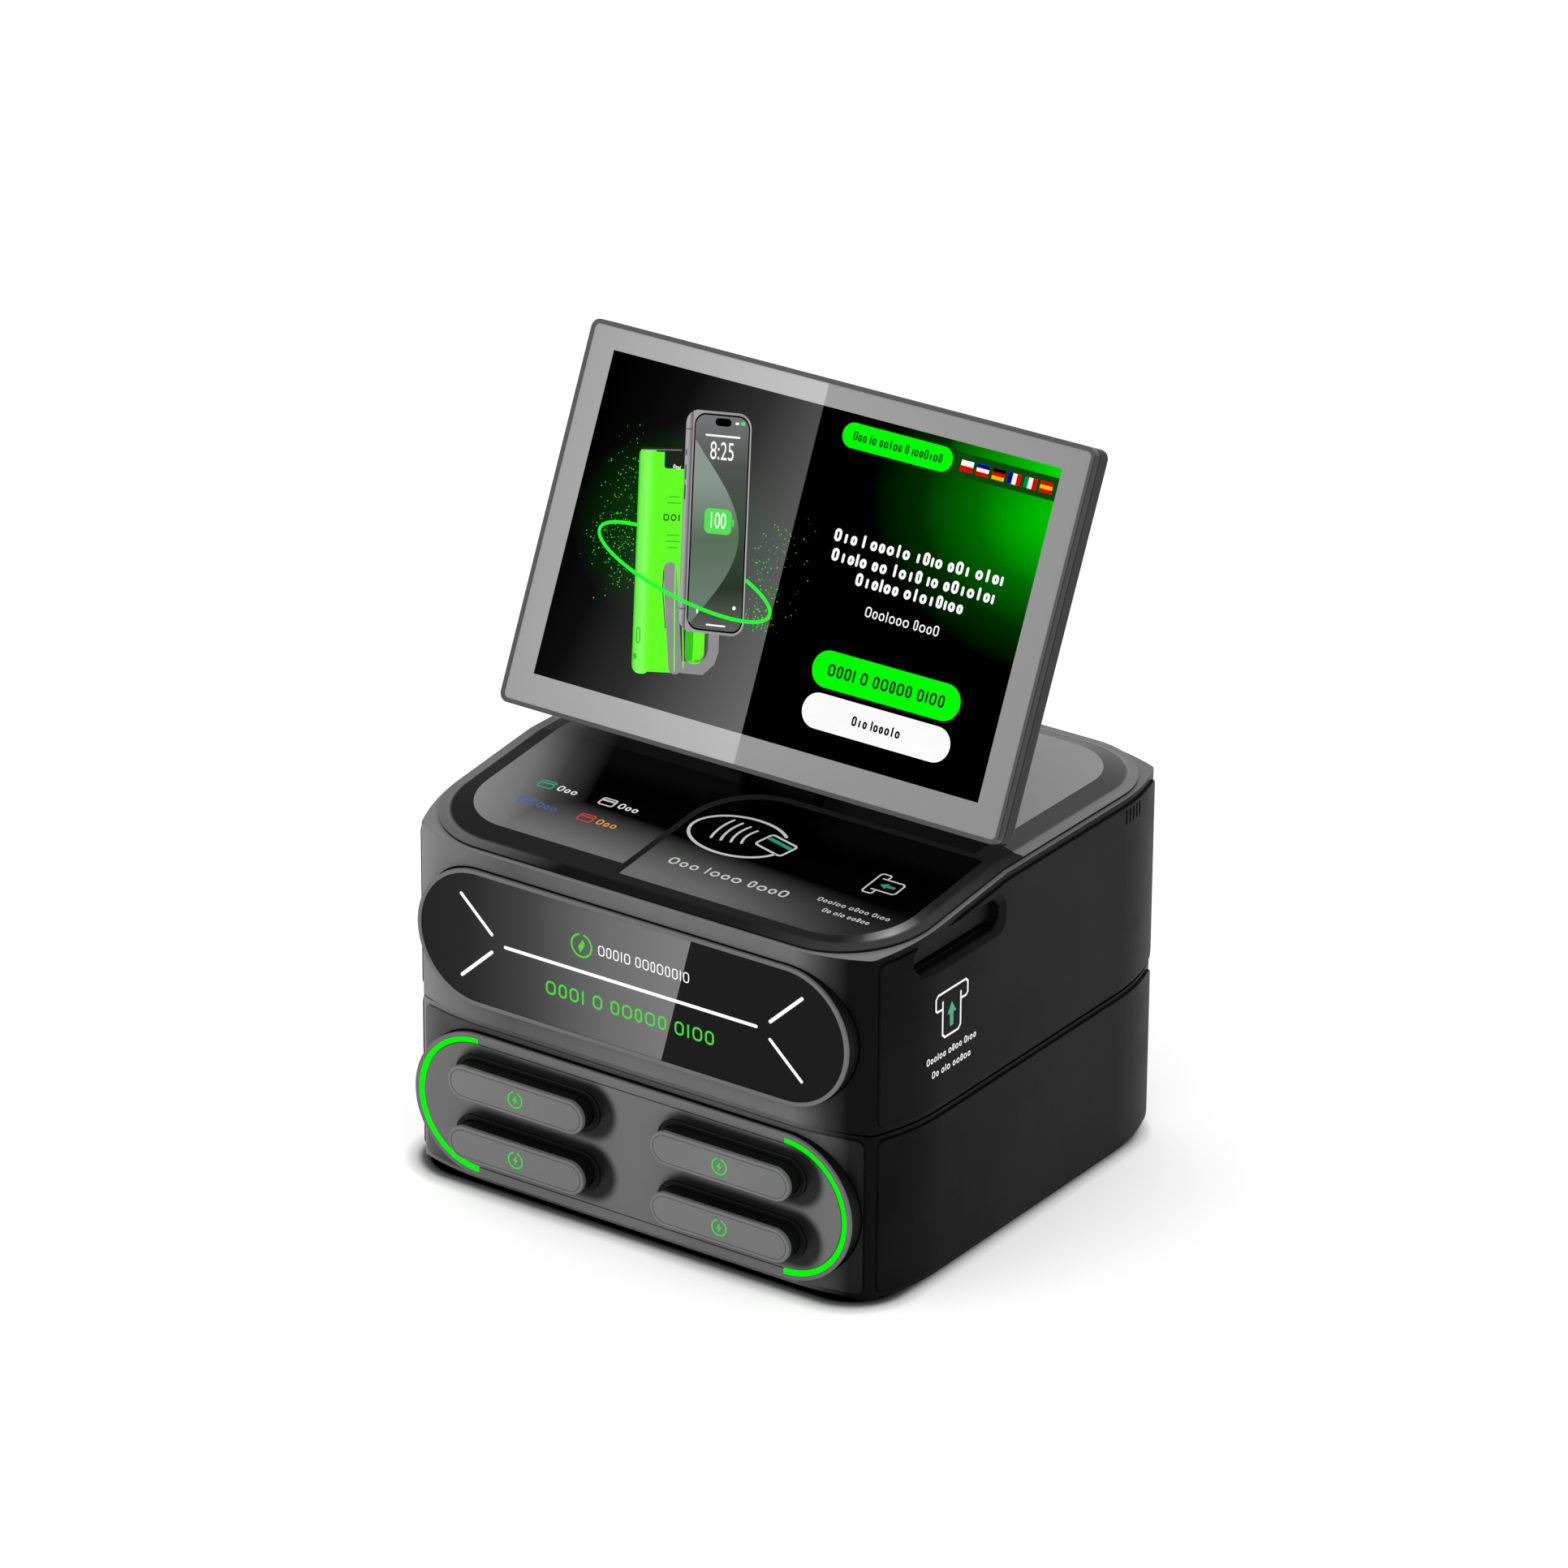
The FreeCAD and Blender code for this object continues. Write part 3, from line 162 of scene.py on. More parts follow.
class Sheet:
    """Collects flat shapes in millimetres, each with a finish and a layer."""

    def __init__(self):
        self.shapes = []

    def add(self, finish, points, faces=None, layer=0):
        self.shapes.append((finish, points, faces or [list(range(len(points)))], layer))

    def disc(self, finish, x, y, radius, layer=0, squash=1.0, steps=40):
        points = []
        for i in range(steps):
            a = 2 * math.pi * i / steps
            points.append((x + radius * math.cos(a), y + radius * squash * math.sin(a)))
        self.add(finish, points, layer=layer)

    def path(self, finish, points, width, layer=0, closed=False, ends=True):
        """A line of even width through points, with round ends."""
        count = len(points)
        left = []
        right = []
        for i, (x, y) in enumerate(points):
            if closed or 0 < i < count - 1:
                px, py = points[i - 1]
                nx, ny = points[(i + 1) % count]
            else:
                px, py = points[i] if i == 0 else points[i - 1]
                nx, ny = points[i + 1] if i == 0 else points[i]
            ax, ay = unit(x - px, y - py)
            bx, by = unit(nx - x, ny - y)
            if (ax, ay) == (0.0, 0.0):
                ax, ay = bx, by
            if (bx, by) == (0.0, 0.0):
                bx, by = ax, ay
            tx, ty = unit(ax + bx, ay + by)
            half = width / 2 / max(0.4, tx * ax + ty * ay)
            left.append((x - ty * half, y + tx * half))
            right.append((x + ty * half, y - tx * half))
        verts = left + right
        faces = []
        for i in range(count if closed else count - 1):
            j = (i + 1) % count
            faces.append([i, count + i, count + j, j])
        if ends and not closed:
            for i, other in ((0, 1), (count - 1, count - 2)):
                x, y = points[i]
                tx, ty = unit(x - points[other][0], y - points[other][1])
                start = math.atan2(ty, tx) - math.pi / 2
                first = len(verts)
                arc = []
                for k in range(1, 8):
                    a = start + math.pi * k / 8
                    verts.append((x + width / 2 * math.cos(a), y + width / 2 * math.sin(a)))
                    arc.append(first + k - 1)
                faces.append([count + i] + arc + [i] if i else [i] + arc + [count + i])
        self.add(finish, verts, faces, layer)

    def box(self, finish, x, y, width, height, radius=0.0, layer=0, frame_of=None):
        self.add(finish, round_box(x, y, width, height, radius, frame_of), layer=layer)

    def outline(self, finish, x, y, width, height, radius, line, layer=0, frame_of=None):
        self.path(finish, round_box(x, y, width, height, radius, frame_of), line, layer, closed=True)

    def arc(self, finish, x, y, radius, start, end, line, layer=0, squash=1.0, steps=28):
        points = []
        for i in range(steps + 1):
            a = math.radians(start + (end - start) * i / steps)
            points.append((x + radius * math.cos(a), y + radius * squash * math.sin(a)))
        self.path(finish, points, line, layer)

    def words(self, finish, x0, x1, y, height, letters, layer=0, line=0.17, capital=False):
        """A placeholder text line: one small open block for each letter, grouped as words."""
        widths = (1.0, 0.82, 0.9, 0.3, 0.95, 0.86, 1.0, 0.72)
        tall = (1.0,) if capital else (1.0, 0.74, 0.74, 1.0, 0.74, 0.74, 0.74)
        total = 0.0
        cells = []
        index = 0
        for word in letters:
            for _ in range(word):
                cells.append((total, widths[index % 8], tall[index % len(tall)]))
                total += widths[index % 8] + 0.28
                index += 1
            total += 0.55
        total -= 0.83
        unit_width = (x1 - x0) / total
        for start, wide, high in cells:
            stroke = line * height
            centre = x0 + (start + wide / 2) * unit_width
            w = wide * unit_width
            h = height * high
            base = y - height / 2
            if w < 2.3 * stroke:
                foot = base + stroke / 2
                self.path(finish, [(centre, foot), (centre, foot + h - stroke)], stroke, layer)
            else:
                self.outline(finish, centre, base + h / 2, w - stroke, h - stroke, w * 0.36, stroke, layer)

    def build(self, name, plane, body, step=PRINT_THICKNESS, lift=PRINT_LIFT):
        finishes = []
        for shape in self.shapes:
            if shape[0] not in finishes:
                finishes.append(shape[0])
        bm = bmesh.new()
        for finish, points, faces, layer in self.shapes:
            high = lift + layer * step
            low = high - PRINT_THICKNESS * 0.6
            top = [bm.verts.new(plane.at(x, y, high)) for x, y in points]
            under = [bm.verts.new(plane.at(x, y, low)) for x, y in points]
            slot_index = finishes.index(finish)
            uses = {}
            for loop in faces:
                if turned_back(points, loop):
                    loop = loop[::-1]
                face = bm.faces.new([top[i] for i in loop])
                face.material_index = slot_index
                face = bm.faces.new([under[i] for i in reversed(loop)])
                face.material_index = slot_index
                for a, b in zip(loop, loop[1:] + loop[:1]):
                    uses[(a, b)] = uses.get((a, b), 0) + 1
            for a, b in uses:
                if (b, a) not in uses:
                    face = bm.faces.new([top[a], under[a], under[b], top[b]])
                    face.material_index = slot_index
        bmesh.ops.triangulate(bm, faces=bm.faces[:])
        piece = new_object(name, bm)
        for finish in finishes:
            piece.data.materials.append(FINISHES[finish])
        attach(piece, body)
        return piece


def unit(x, y):
    size = math.hypot(x, y)
    return (x / size, y / size) if size > 1e-9 else (0.0, 0.0)


def turned_back(points, loop):
    area = 0.0
    for a, b in zip(loop, loop[1:] + loop[:1]):
        area += points[a][0] * points[b][1] - points[b][0] * points[a][1]
    return area < 0


def round_box(x, y, width, height, radius, frame_of=None):
    """Corner points of a rounded box, turned and skewed into frame_of when it is given.

    The radius is one value, or a pair of the top corners' and the bottom corners'."""
    points = []
    corners = ((1, 1, 0), (-1, 1, 90), (-1, -1, 180), (1, -1, 270))
    for sx, sy, start in corners:
        own = radius[0 if sy > 0 else 1] if isinstance(radius, tuple) else radius
        own = min(own, width / 2, height / 2)
        corner_points(points, x, y, width, height, own, sx, sy, start)
    return skewed(points, frame_of)


def corner_points(points, x, y, width, height, radius, sx, sy, start):
    steps = CORNER_STEPS if radius > 0 else 0
    cx = x + sx * (width / 2 - radius)
    cy = y + sy * (height / 2 - radius)
    for k in range(steps + 1):
        a = math.radians(start + 90 * k / max(1, steps))
        points.append((cx + radius * math.cos(a), cy + radius * math.sin(a)))


def skewed(points, frame_of):
    if frame_of is None:
        return points
    (ox, oy), (rx, ry), (ux, uy) = frame_of
    return [(ox + x * rx + y * ux, oy + x * ry + y * uy) for x, y in points]


def placed(name, data):
    """Put a mesh, curve, lamp or camera into the scene."""
    item = bpy.data.objects.new(name, data)
    bpy.context.scene.collection.objects.link(item)
    return item


def new_object(name, bm):
    mesh = bpy.data.meshes.new(name)
    bm.to_mesh(mesh)
    bm.free()
    return placed(name, mesh)


# ---- finishes --------------------------------------------------------------
def feed(tree, socket, value):
    """Link an output to a socket, or set the socket's own value."""
    if isinstance(value, bpy.types.NodeSocket):
        tree.links.new(value, socket)
    elif socket.type == "RGBA":
        socket.default_value = (*value, 1.0)
    else:
        socket.default_value = value


def step(tree, kind, inputs, **settings):
    """Add a node; inputs go by a socket's name or number."""
    node = tree.nodes.new(kind)
    for name, value in settings.items():
        setattr(node, name, value)
    for key, value in inputs.items():
        feed(tree, node.inputs[key], value)
    return node


class Finish:
    """A material in the making; each step adds nodes and gives back an output."""

    def __init__(self, name):
        material = bpy.data.materials.new("finish_" + name)
        FINISHES[name] = material
        material.use_nodes = True
        self.tree = material.node_tree
        self.shader = self.tree.nodes["Principled BSDF"]

    def put(self, socket, value):
        feed(self.tree, self.shader.inputs[socket], value)

    def step(self, kind, inputs, output=0, **settings):
        return step(self.tree, kind, inputs, **settings).outputs[output]

    def vector(self, operation, inputs, output="Vector"):
        return self.step("ShaderNodeVectorMath", inputs, output, operation=operation)

    def calc(self, operation, *values, clamp=False):
        """One maths step on outputs and numbers."""
        return self.step("ShaderNodeMath", dict(enumerate(values)), operation=operation, use_clamp=clamp)

    def times(self, first, second):
        return self.calc("MULTIPLY", first, second, clamp=True)

    def point(self):
        return self.step("ShaderNodeTexCoord", {}, "Object")

    def split(self, vector):
        return step(self.tree, "ShaderNodeSeparateXYZ", {0: vector}).outputs

    def noise(self, scale, detail=3.0, rough=0.55):
        inputs = {"Vector": self.point(), "Scale": scale, "Detail": detail, "Roughness": rough}
        return self.step("ShaderNodeTexNoise", inputs, "Fac")

    def span(self, value, low, high, new_low=0.0, new_high=1.0, smooth=False):
        """Move a value from one range to another, and hold it inside the new one."""
        inputs = {"Value": value, "From Min": low, "From Max": high, "To Min": new_low, "To Max": new_high}
        curve = "SMOOTHSTEP" if smooth else "LINEAR"
        return self.step("ShaderNodeMapRange", inputs, "Result", interpolation_type=curve)

    def mix(self, factor, first, second, kind="MIX"):
        inputs = {0: factor, 6: first, 7: second}
        return self.step("ShaderNodeMix", inputs, 2, data_type="RGBA", blend_type=kind)

    def ramp(self, value, stops):
        """Colour from a value through stops of (position, grey or colour)."""
        low = stops[0][0]
        high = stops[-1][0]
        node = step(self.tree, "ShaderNodeValToRGB", {"Fac": self.span(value, low, high)})
        points = node.color_ramp.elements
        while len(points) < len(stops):
            points.new(0.5)
        for point, (place, tone) in zip(points, stops):
            point.position = (place - low) / (high - low)
            rgb = (tone, tone, tone) if isinstance(tone, float) else tone
            point.color = (*rgb, 1.0)
        return node.outputs["Color"]

    def along(self, direction, origin=(0, 0, 0)):
        """Distance in metres from origin along a direction, in object coordinates."""
        away = self.vector("SUBTRACT", {0: self.point(), 1: origin})
        return self.vector("DOT_PRODUCT", {0: away, 1: Vector(direction).normalized()}, "Value")

    def spread_from(self, centre, reach):
        """Distance from a centre, counted in reaches; an axis with no reach is ignored."""
        away = self.vector("SUBTRACT", {0: self.point(), 1: centre})
        scaled = self.vector("MULTIPLY", {0: away, 1: [1 / r if r else 0.0 for r in reach]})
        return self.vector("LENGTH", {0: scaled}, "Value")

    def distance(self, across, beside):
        """Length of a flat step given by its two parts."""
        pair = self.step("ShaderNodeCombineXYZ", {0: across, 1: beside})
        return self.vector("LENGTH", {0: pair}, "Value")

    def tilted(self, level):
        """One on faces that tilt from a level direction, such as a bevel, and nothing on flat ones."""
        normal = self.step("ShaderNodeNewGeometry", {}, "True Normal")
        dot = self.vector("DOT_PRODUCT", {0: normal, 1: Vector(level).normalized()}, "Value")
        return self.span(dot, 0.980, 0.990, 1.0, 0.0)

    def on_rim(self):
        """One on the flat rim of the top, which bends down in front of the crease."""
        front = self.along((0, -ROOF_SLOPE, 1), (0, CREASE, TOP_RIM))
        rear = self.along((0, 0, 1), (0, CREASE, TOP_RIM))
        behind = self.span(self.along((0, 1, 0), (0, CREASE, 0)), -0.0002, 0.0002)
        height = self.step("ShaderNodeMix", {0: behind, 2: front, 3: rear})
        return self.span(height, 0.0002, 0.0005, 1.0, 0.0)

    def surface(self, ior, roughness, spread, grain, depth, bevel=0.0):
        """Uneven roughness and a fine moulded or painted grain, with softened edges."""
        self.put("IOR", ior)
        self.put("Roughness", self.span(self.noise(38.0), 0.3, 0.7, roughness - spread, roughness + spread))
        inputs = {"Strength": 0.35, "Distance": depth, "Height": self.noise(grain, 2.0)}
        if bevel:
            inputs["Normal"] = self.step("ShaderNodeBevel", {"Radius": bevel}, "Normal", samples=4)
        self.put("Normal", self.step("ShaderNodeBump", inputs, "Normal"))

    def light(self, tone, strength=1.0, grain=80.0, smoothest=0.22, roughest=0.30):
        """A lit finish with no colour of its own under it."""
        self.put("Base Color", (0.0, 0.0, 0.0))
        self.put("IOR", 1.01)
        self.put("Emission Strength", strength)
        self.put("Emission Color", tone)
        self.put("Roughness", self.span(self.noise(grain), 0.3, 0.7, smoothest, roughest))


def plain(name, tone, roughness, grain=900.0, depth=0.00002, metallic=0.0, specular=0.5, coat=0.0, bevel=0.0,
          vary=0.12, ior=1.5):
    finish = Finish(name)
    finish.put("Metallic", metallic)
    finish.put("Specular IOR Level", specular)
    finish.put("Coat Weight", coat)
    finish.put("Coat Roughness", 0.06)
    light = tuple(min(1.0, c * (1 + vary)) for c in tone)
    dark = tuple(c * (1 - vary) for c in tone)
    finish.put("Base Color", finish.mix(finish.span(finish.noise(16.0), 0.35, 0.65), dark, light))
    finish.surface(ior, roughness, 0.04, grain, depth, bevel)


def lit(name, tone, strength=1.0):
    finish = Finish(name)
    dim = tuple(c * 0.94 for c in tone)
    finish.light(finish.mix(finish.span(finish.noise(60.0), 0.3, 0.7), dim, tone), strength)


def lit_fade(name, origin, direction, stops):
    """A lit finish whose colour runs through stops along a direction."""
    finish = Finish(name)
    finish.light(finish.ramp(finish.along(direction, origin), stops))


def make_shell(colours):
    """Black moulded housing with painted light: a lit grey front that darkens towards its right end into
    painted shade, and a painted highlight on the roof edge's upward faces.
    """
    finish = Finish("shell_black")
    shell = tuple(colours.shell)
    front_y = CAD_BOX[0][1] + 0.0108
    across = finish.along((1, 0, 0))
    depth = finish.along((0, -1, 0), (0, front_y, 0))
    height = finish.along((0, 0, 1))
    front = tuple(colours.front)
    tone = finish.ramp(across, ((-0.118, 0.14), (-0.108, 0.18), (-0.098, 0.15), (-0.06, 0.08),
                                       (0.0, front), (0.078, front), (0.092, 0.030), (0.101, 0.001)))
    at_front = finish.span(depth, -0.022, -0.009, 0.0, 1.0, True)
    body = finish.mix(at_front, shell, tone)
    deck = finish.span(height, 0.1460, 0.1466)
    up = finish.split(finish.step("ShaderNodeNewGeometry", {}, "Normal"))["Z"]
    # painted highlight: faces turned up on the roof edge take the lighter roof colour
    roof_highlight = finish.span(up, 0.8, 0.95)
    finish.put("Base Color", finish.mix(finish.times(deck, roof_highlight), body, tuple(colours.top)))
    finish.surface(1.14, 0.36, 0.03, 1100.0, 0.000015, 0.0004)


def make_lower_front():
    """Front panel of the lower storey, with painted light across its front and painted shade at its right
    end.
    """
    finish = Finish("panel_front")
    across = finish.along((1, 0, 0))
    tone = finish.ramp(across, ((-0.108, 0.09), (-0.098, 0.05), (-0.03, 0.06), (0.05, 0.09),
                                       (0.090, 0.07), (0.102, 0.003)))
    finish.put("Base Color", tone)
    finish.surface(1.22, 0.36, 0.03, 1100.0, 0.000015, 0.0003)


def make_side_panels():
    """Black painted panels with painted shade, darkest at the front and a touch lighter towards the back."""
    finish = Finish("panel_black")
    back = finish.along((0, 1, 0))
    tone = finish.ramp(back, ((-0.080, 0.001), (-0.045, 0.003), (0.0, 0.009), (0.110, 0.011)))
    worn = finish.span(finish.noise(16.0), 0.35, 0.65, 0.0, 0.12)
    finish.put("Base Color", finish.mix(worn, tone, (0.03, 0.03, 0.03)))
    finish.surface(1.11, 0.42, 0.04, 1300.0, 0.000018, 0.0004)


def make_screen_rim():
    """Grey screen rim whose right side faces are painted near black, a painted shade."""
    finish = Finish("screen_rim")
    tone = finish.ramp(finish.along((1, 0, 0), (SCREEN_SIDE, 0, 0)), ((0.0, 0.060), (0.0004, 0.008)))
    finish.put("Base Color", tone)
    finish.surface(1.3, 0.34, 0.03, 1200.0, 0.000010, 0.0003)


def make_sign_window():
    """Smoked window with a painted sheen of glare that ends at a slanted edge."""
    finish = Finish("sign_window")
    across = finish.along((1, 0, 0))
    edge = finish.along((0.97, 0, -0.249), (0.0226, 0, 0.1129))
    sheen = finish.ramp(across, ((-0.105, 0.010), (-0.08, 0.014), (-0.05, 0.04), (-0.01, 0.12),
                                        (0.03, 0.17)))
    tone = finish.mix(finish.span(edge, -0.0001, 0.0001), sheen, (0.006, 0.006, 0.006))
    finish.put("Base Color", tone)
    finish.surface(1.12, 0.16, 0.02, 500.0, 0.000003)


def make_floor():
    """Pale floor with a painted contact shadow under the front of the station."""
    finish = Finish("floor_pale")
    tint = finish.span(finish.noise(3.0), 0.3, 0.7)
    tone = finish.mix(tint, (0.92, 0.92, 0.92), (0.94, 0.94, 0.94))
    split = finish.split(finish.point())
    low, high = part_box("base_tray")
    inset = 0.0235
    centre_y = (low[1] + high[1]) / 2 - 0.0045
    gaps = []
    half_depth = (high[1] - low[1]) / 2
    for axis, centre, half in (("X", -0.0015, high[0] - inset), ("Y", centre_y, half_depth - inset)):
        fold = finish.calc("ABSOLUTE", finish.calc("SUBTRACT", split[axis], centre))
        gaps.append(finish.calc("MAXIMUM", finish.calc("SUBTRACT", fold, half), 0.0))
    reach = finish.distance(gaps[0], gaps[1])
    # painted contact shadow round the station's footprint, darkest close to it
    touch = finish.ramp(reach, ((0.020, 0.0), (0.0235, 0.12), (0.0265, 0.6), (0.032, 1.0)))
    finish.put("Base Color", finish.times(tone, touch))
    finish.put("Roughness", 0.9)
    finish.put("Emission Color", touch)
    finish.put("Emission Strength", 0.26)
    finish.put("Specular IOR Level", 0.0)


def make_top_gloss():
    """Piano black payment top, with a painted grey reflection along its front and left edges, and a grey rim
    with a painted reflection that varies along it.
    """
    finish = Finish("top_gloss")
    # painted reflection: grey haze along the left and front edges
    left = finish.ramp(finish.along((0.93, 0.36, 0), (-0.104, -0.06, 0)),
                ((0.0, 0.23), (0.016, 0.17), (0.030, 0.05), (0.046, 0.0)))
    near = finish.ramp(finish.along((0.05, 0.998, 0.0), (0.0, -0.0965, 0.15)),
                ((0.0, 0.16), (0.010, 0.15), (0.022, 0.09), (0.038, 0.0)))
    fade = finish.ramp(finish.along((1, 0, 0)), ((-0.03, 1.0), (0.03, 0.85), (0.070, 0.42), (0.09, 0.2)))
    reflection_haze = finish.mix(1.0, left, finish.times(near, fade), "LIGHTEN")
    rim = finish.on_rim()
    # painted light on the bevel: painted shade at the front and a painted highlight at its right front corner
    corner = finish.spread_from((0.108, -0.080, 0.0), (0.018, 0.028, 0.0))
    shine = finish.ramp(corner, ((0.0, 0.42), (0.25, 0.22), (0.6, 0.04), (1.0, 0.016)))
    tone = finish.mix(finish.tilted((0, -ROOF_SLOPE, 1)), reflection_haze, shine)
    # painted reflection along the rim, lighter at the front left and near black further along
    edge = finish.ramp(finish.along((0.9, -0.43, 0), (-0.119, -0.06, 0)),
                ((0.0, 0.17), (0.05, 0.11), (0.09, 0.006), (0.17, 0.012), (0.22, 0.05)))
    finish.put("Base Color", finish.mix(rim, tone, edge))
    finish.surface(1.035, 0.26, 0.02, 400.0, 0.000002, 0.0002)


def make_rear_top():
    """Deck under the screen with painted light: pale where it faces up as a painted highlight, dark on the
    tilted bevel as painted shade, inside a grey rim.
    """
    finish = Finish("rear_top")
    rim = finish.on_rim()
    tone = finish.mix(finish.tilted((0, 0, 1)), (0.31, 0.31, 0.311), (0.055, 0.055, 0.0555))
    finish.put("Base Color", finish.mix(rim, tone, (0.20, 0.20, 0.201)))
    finish.surface(1.2, 0.34, 0.03, 900.0, 0.000006, 0.0002)


def make_slot_face(colours):
    """Grey slot plate with a soft painted shadow beside and above each power bank."""
    finish = Finish("face_grey")
    split = finish.split(finish.point())
    gaps = []
    for axis, centre, half in (("X", SLOT_SHADE_X, SLOT_X), ("Z", SLOT_Z + SLOT_SHADE_Z, SLOT_STEP / 2)):
        fold = finish.calc("ABSOLUTE", finish.calc("SUBTRACT", split[axis], centre))
        gaps.append(finish.calc("ABSOLUTE", finish.calc("SUBTRACT", fold, half)))
    past = finish.calc("MAXIMUM", finish.calc("SUBTRACT", gaps[0], SLOT_HALF), 0.0)
    reach = finish.distance(past, gaps[1])
    face = tuple(colours.face)
    # painted shadow round each bank, darkest close to its collar
    shade = finish.span(reach, 0.0105, 0.0150, 0.97, 0.0, True)
    finish.put("Base Color", finish.mix(shade, face, (0.002, 0.002, 0.002)))
    finish.surface(1.25, 0.34, 0.03, 1400.0, 0.00001, 0.0002)


def make_glass(plane):
    """Front glass: pale grey border with a painted glare sheen over its left half."""
    finish = Finish("screen_glass")
    across = finish.along(plane.right, plane.origin)
    tone = finish.ramp(across, ((-0.121, 0.27), (-0.0052, 0.43), (-0.0050, 0.26), (0.121, 0.215)))
    finish.put("Base Color", tone)
    finish.put("Specular IOR Level", 0.2)
    finish.surface(1.5, 0.12, 0.02, 300.0, 0.000001)


def make_backdrop(plane):
    """Screen background: painted glare sheen on the left, green glow at the top right."""
    finish = Finish("screen_backdrop")
    across = finish.along(plane.right, plane.origin)
    diagonal = finish.along(plane.right * 0.97 - plane.up * 0.24, plane.origin)
    # painted glare across the screen's left part
    left = finish.ramp(diagonal, ((-0.115, 0.0), (-0.08, 0.004), (-0.045, 0.028), (-0.008, 0.10),
                                         (0.016, 0.15)))
    glow = finish.spread_from(plane.at(116, 47, 0), (0.098, 0.0, 0.066 * math.cos(LEAN)))
    right = finish.ramp(glow, ((0.0, (0.0, 0.58, 0.0)), (0.18, (0.0, 0.42, 0.0)), (0.42, (0.0, 0.14, 0.0)),
                                      (0.68, (0.0, 0.025, 0.0)), (0.92, (0.0, 0.0, 0.0))))
    haze = finish.spread_from(plane.at(-56, 4, 0), (0.062, 0.0, 0.050 * math.cos(LEAN)))
    green = finish.ramp(haze, ((0.0, (0.0, 0.045, 0.0)), (0.4, (0.0, 0.024, 0.0)), (0.85, (0.0, 0.0, 0.0))))
    tone = finish.mix(finish.span(across, -0.0052, -0.0050), finish.mix(1.0, left, green, "ADD"), right)
    finish.light(tone, 1.0, 70.0, 0.16, 0.20)


def cover(finish, *nodes):
    for node in nodes:
        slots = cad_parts[node].data.materials
        slots.clear()
        slots.append(FINISHES[finish])


def screen_plane():
    """Front face of the screen's glass."""
    half_glass = 0.9 * MM
    up = Vector((0, math.sin(LEAN), math.cos(LEAN)))
    out = Vector((0, -math.cos(LEAN), math.sin(LEAN)))
    return Plane(middle("touch_glass") + out * half_glass + up * 1.7 * MM, (1, 0, 0), up)


def top_plane(depth=0.0):
    """The payment top, or a face sunk into it."""
    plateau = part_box("rear_top_plate")[1][2] - depth * MM
    return Plane((0, CREASE, plateau), (1, 0, 0), (0, 1, ROOF_SLOPE))


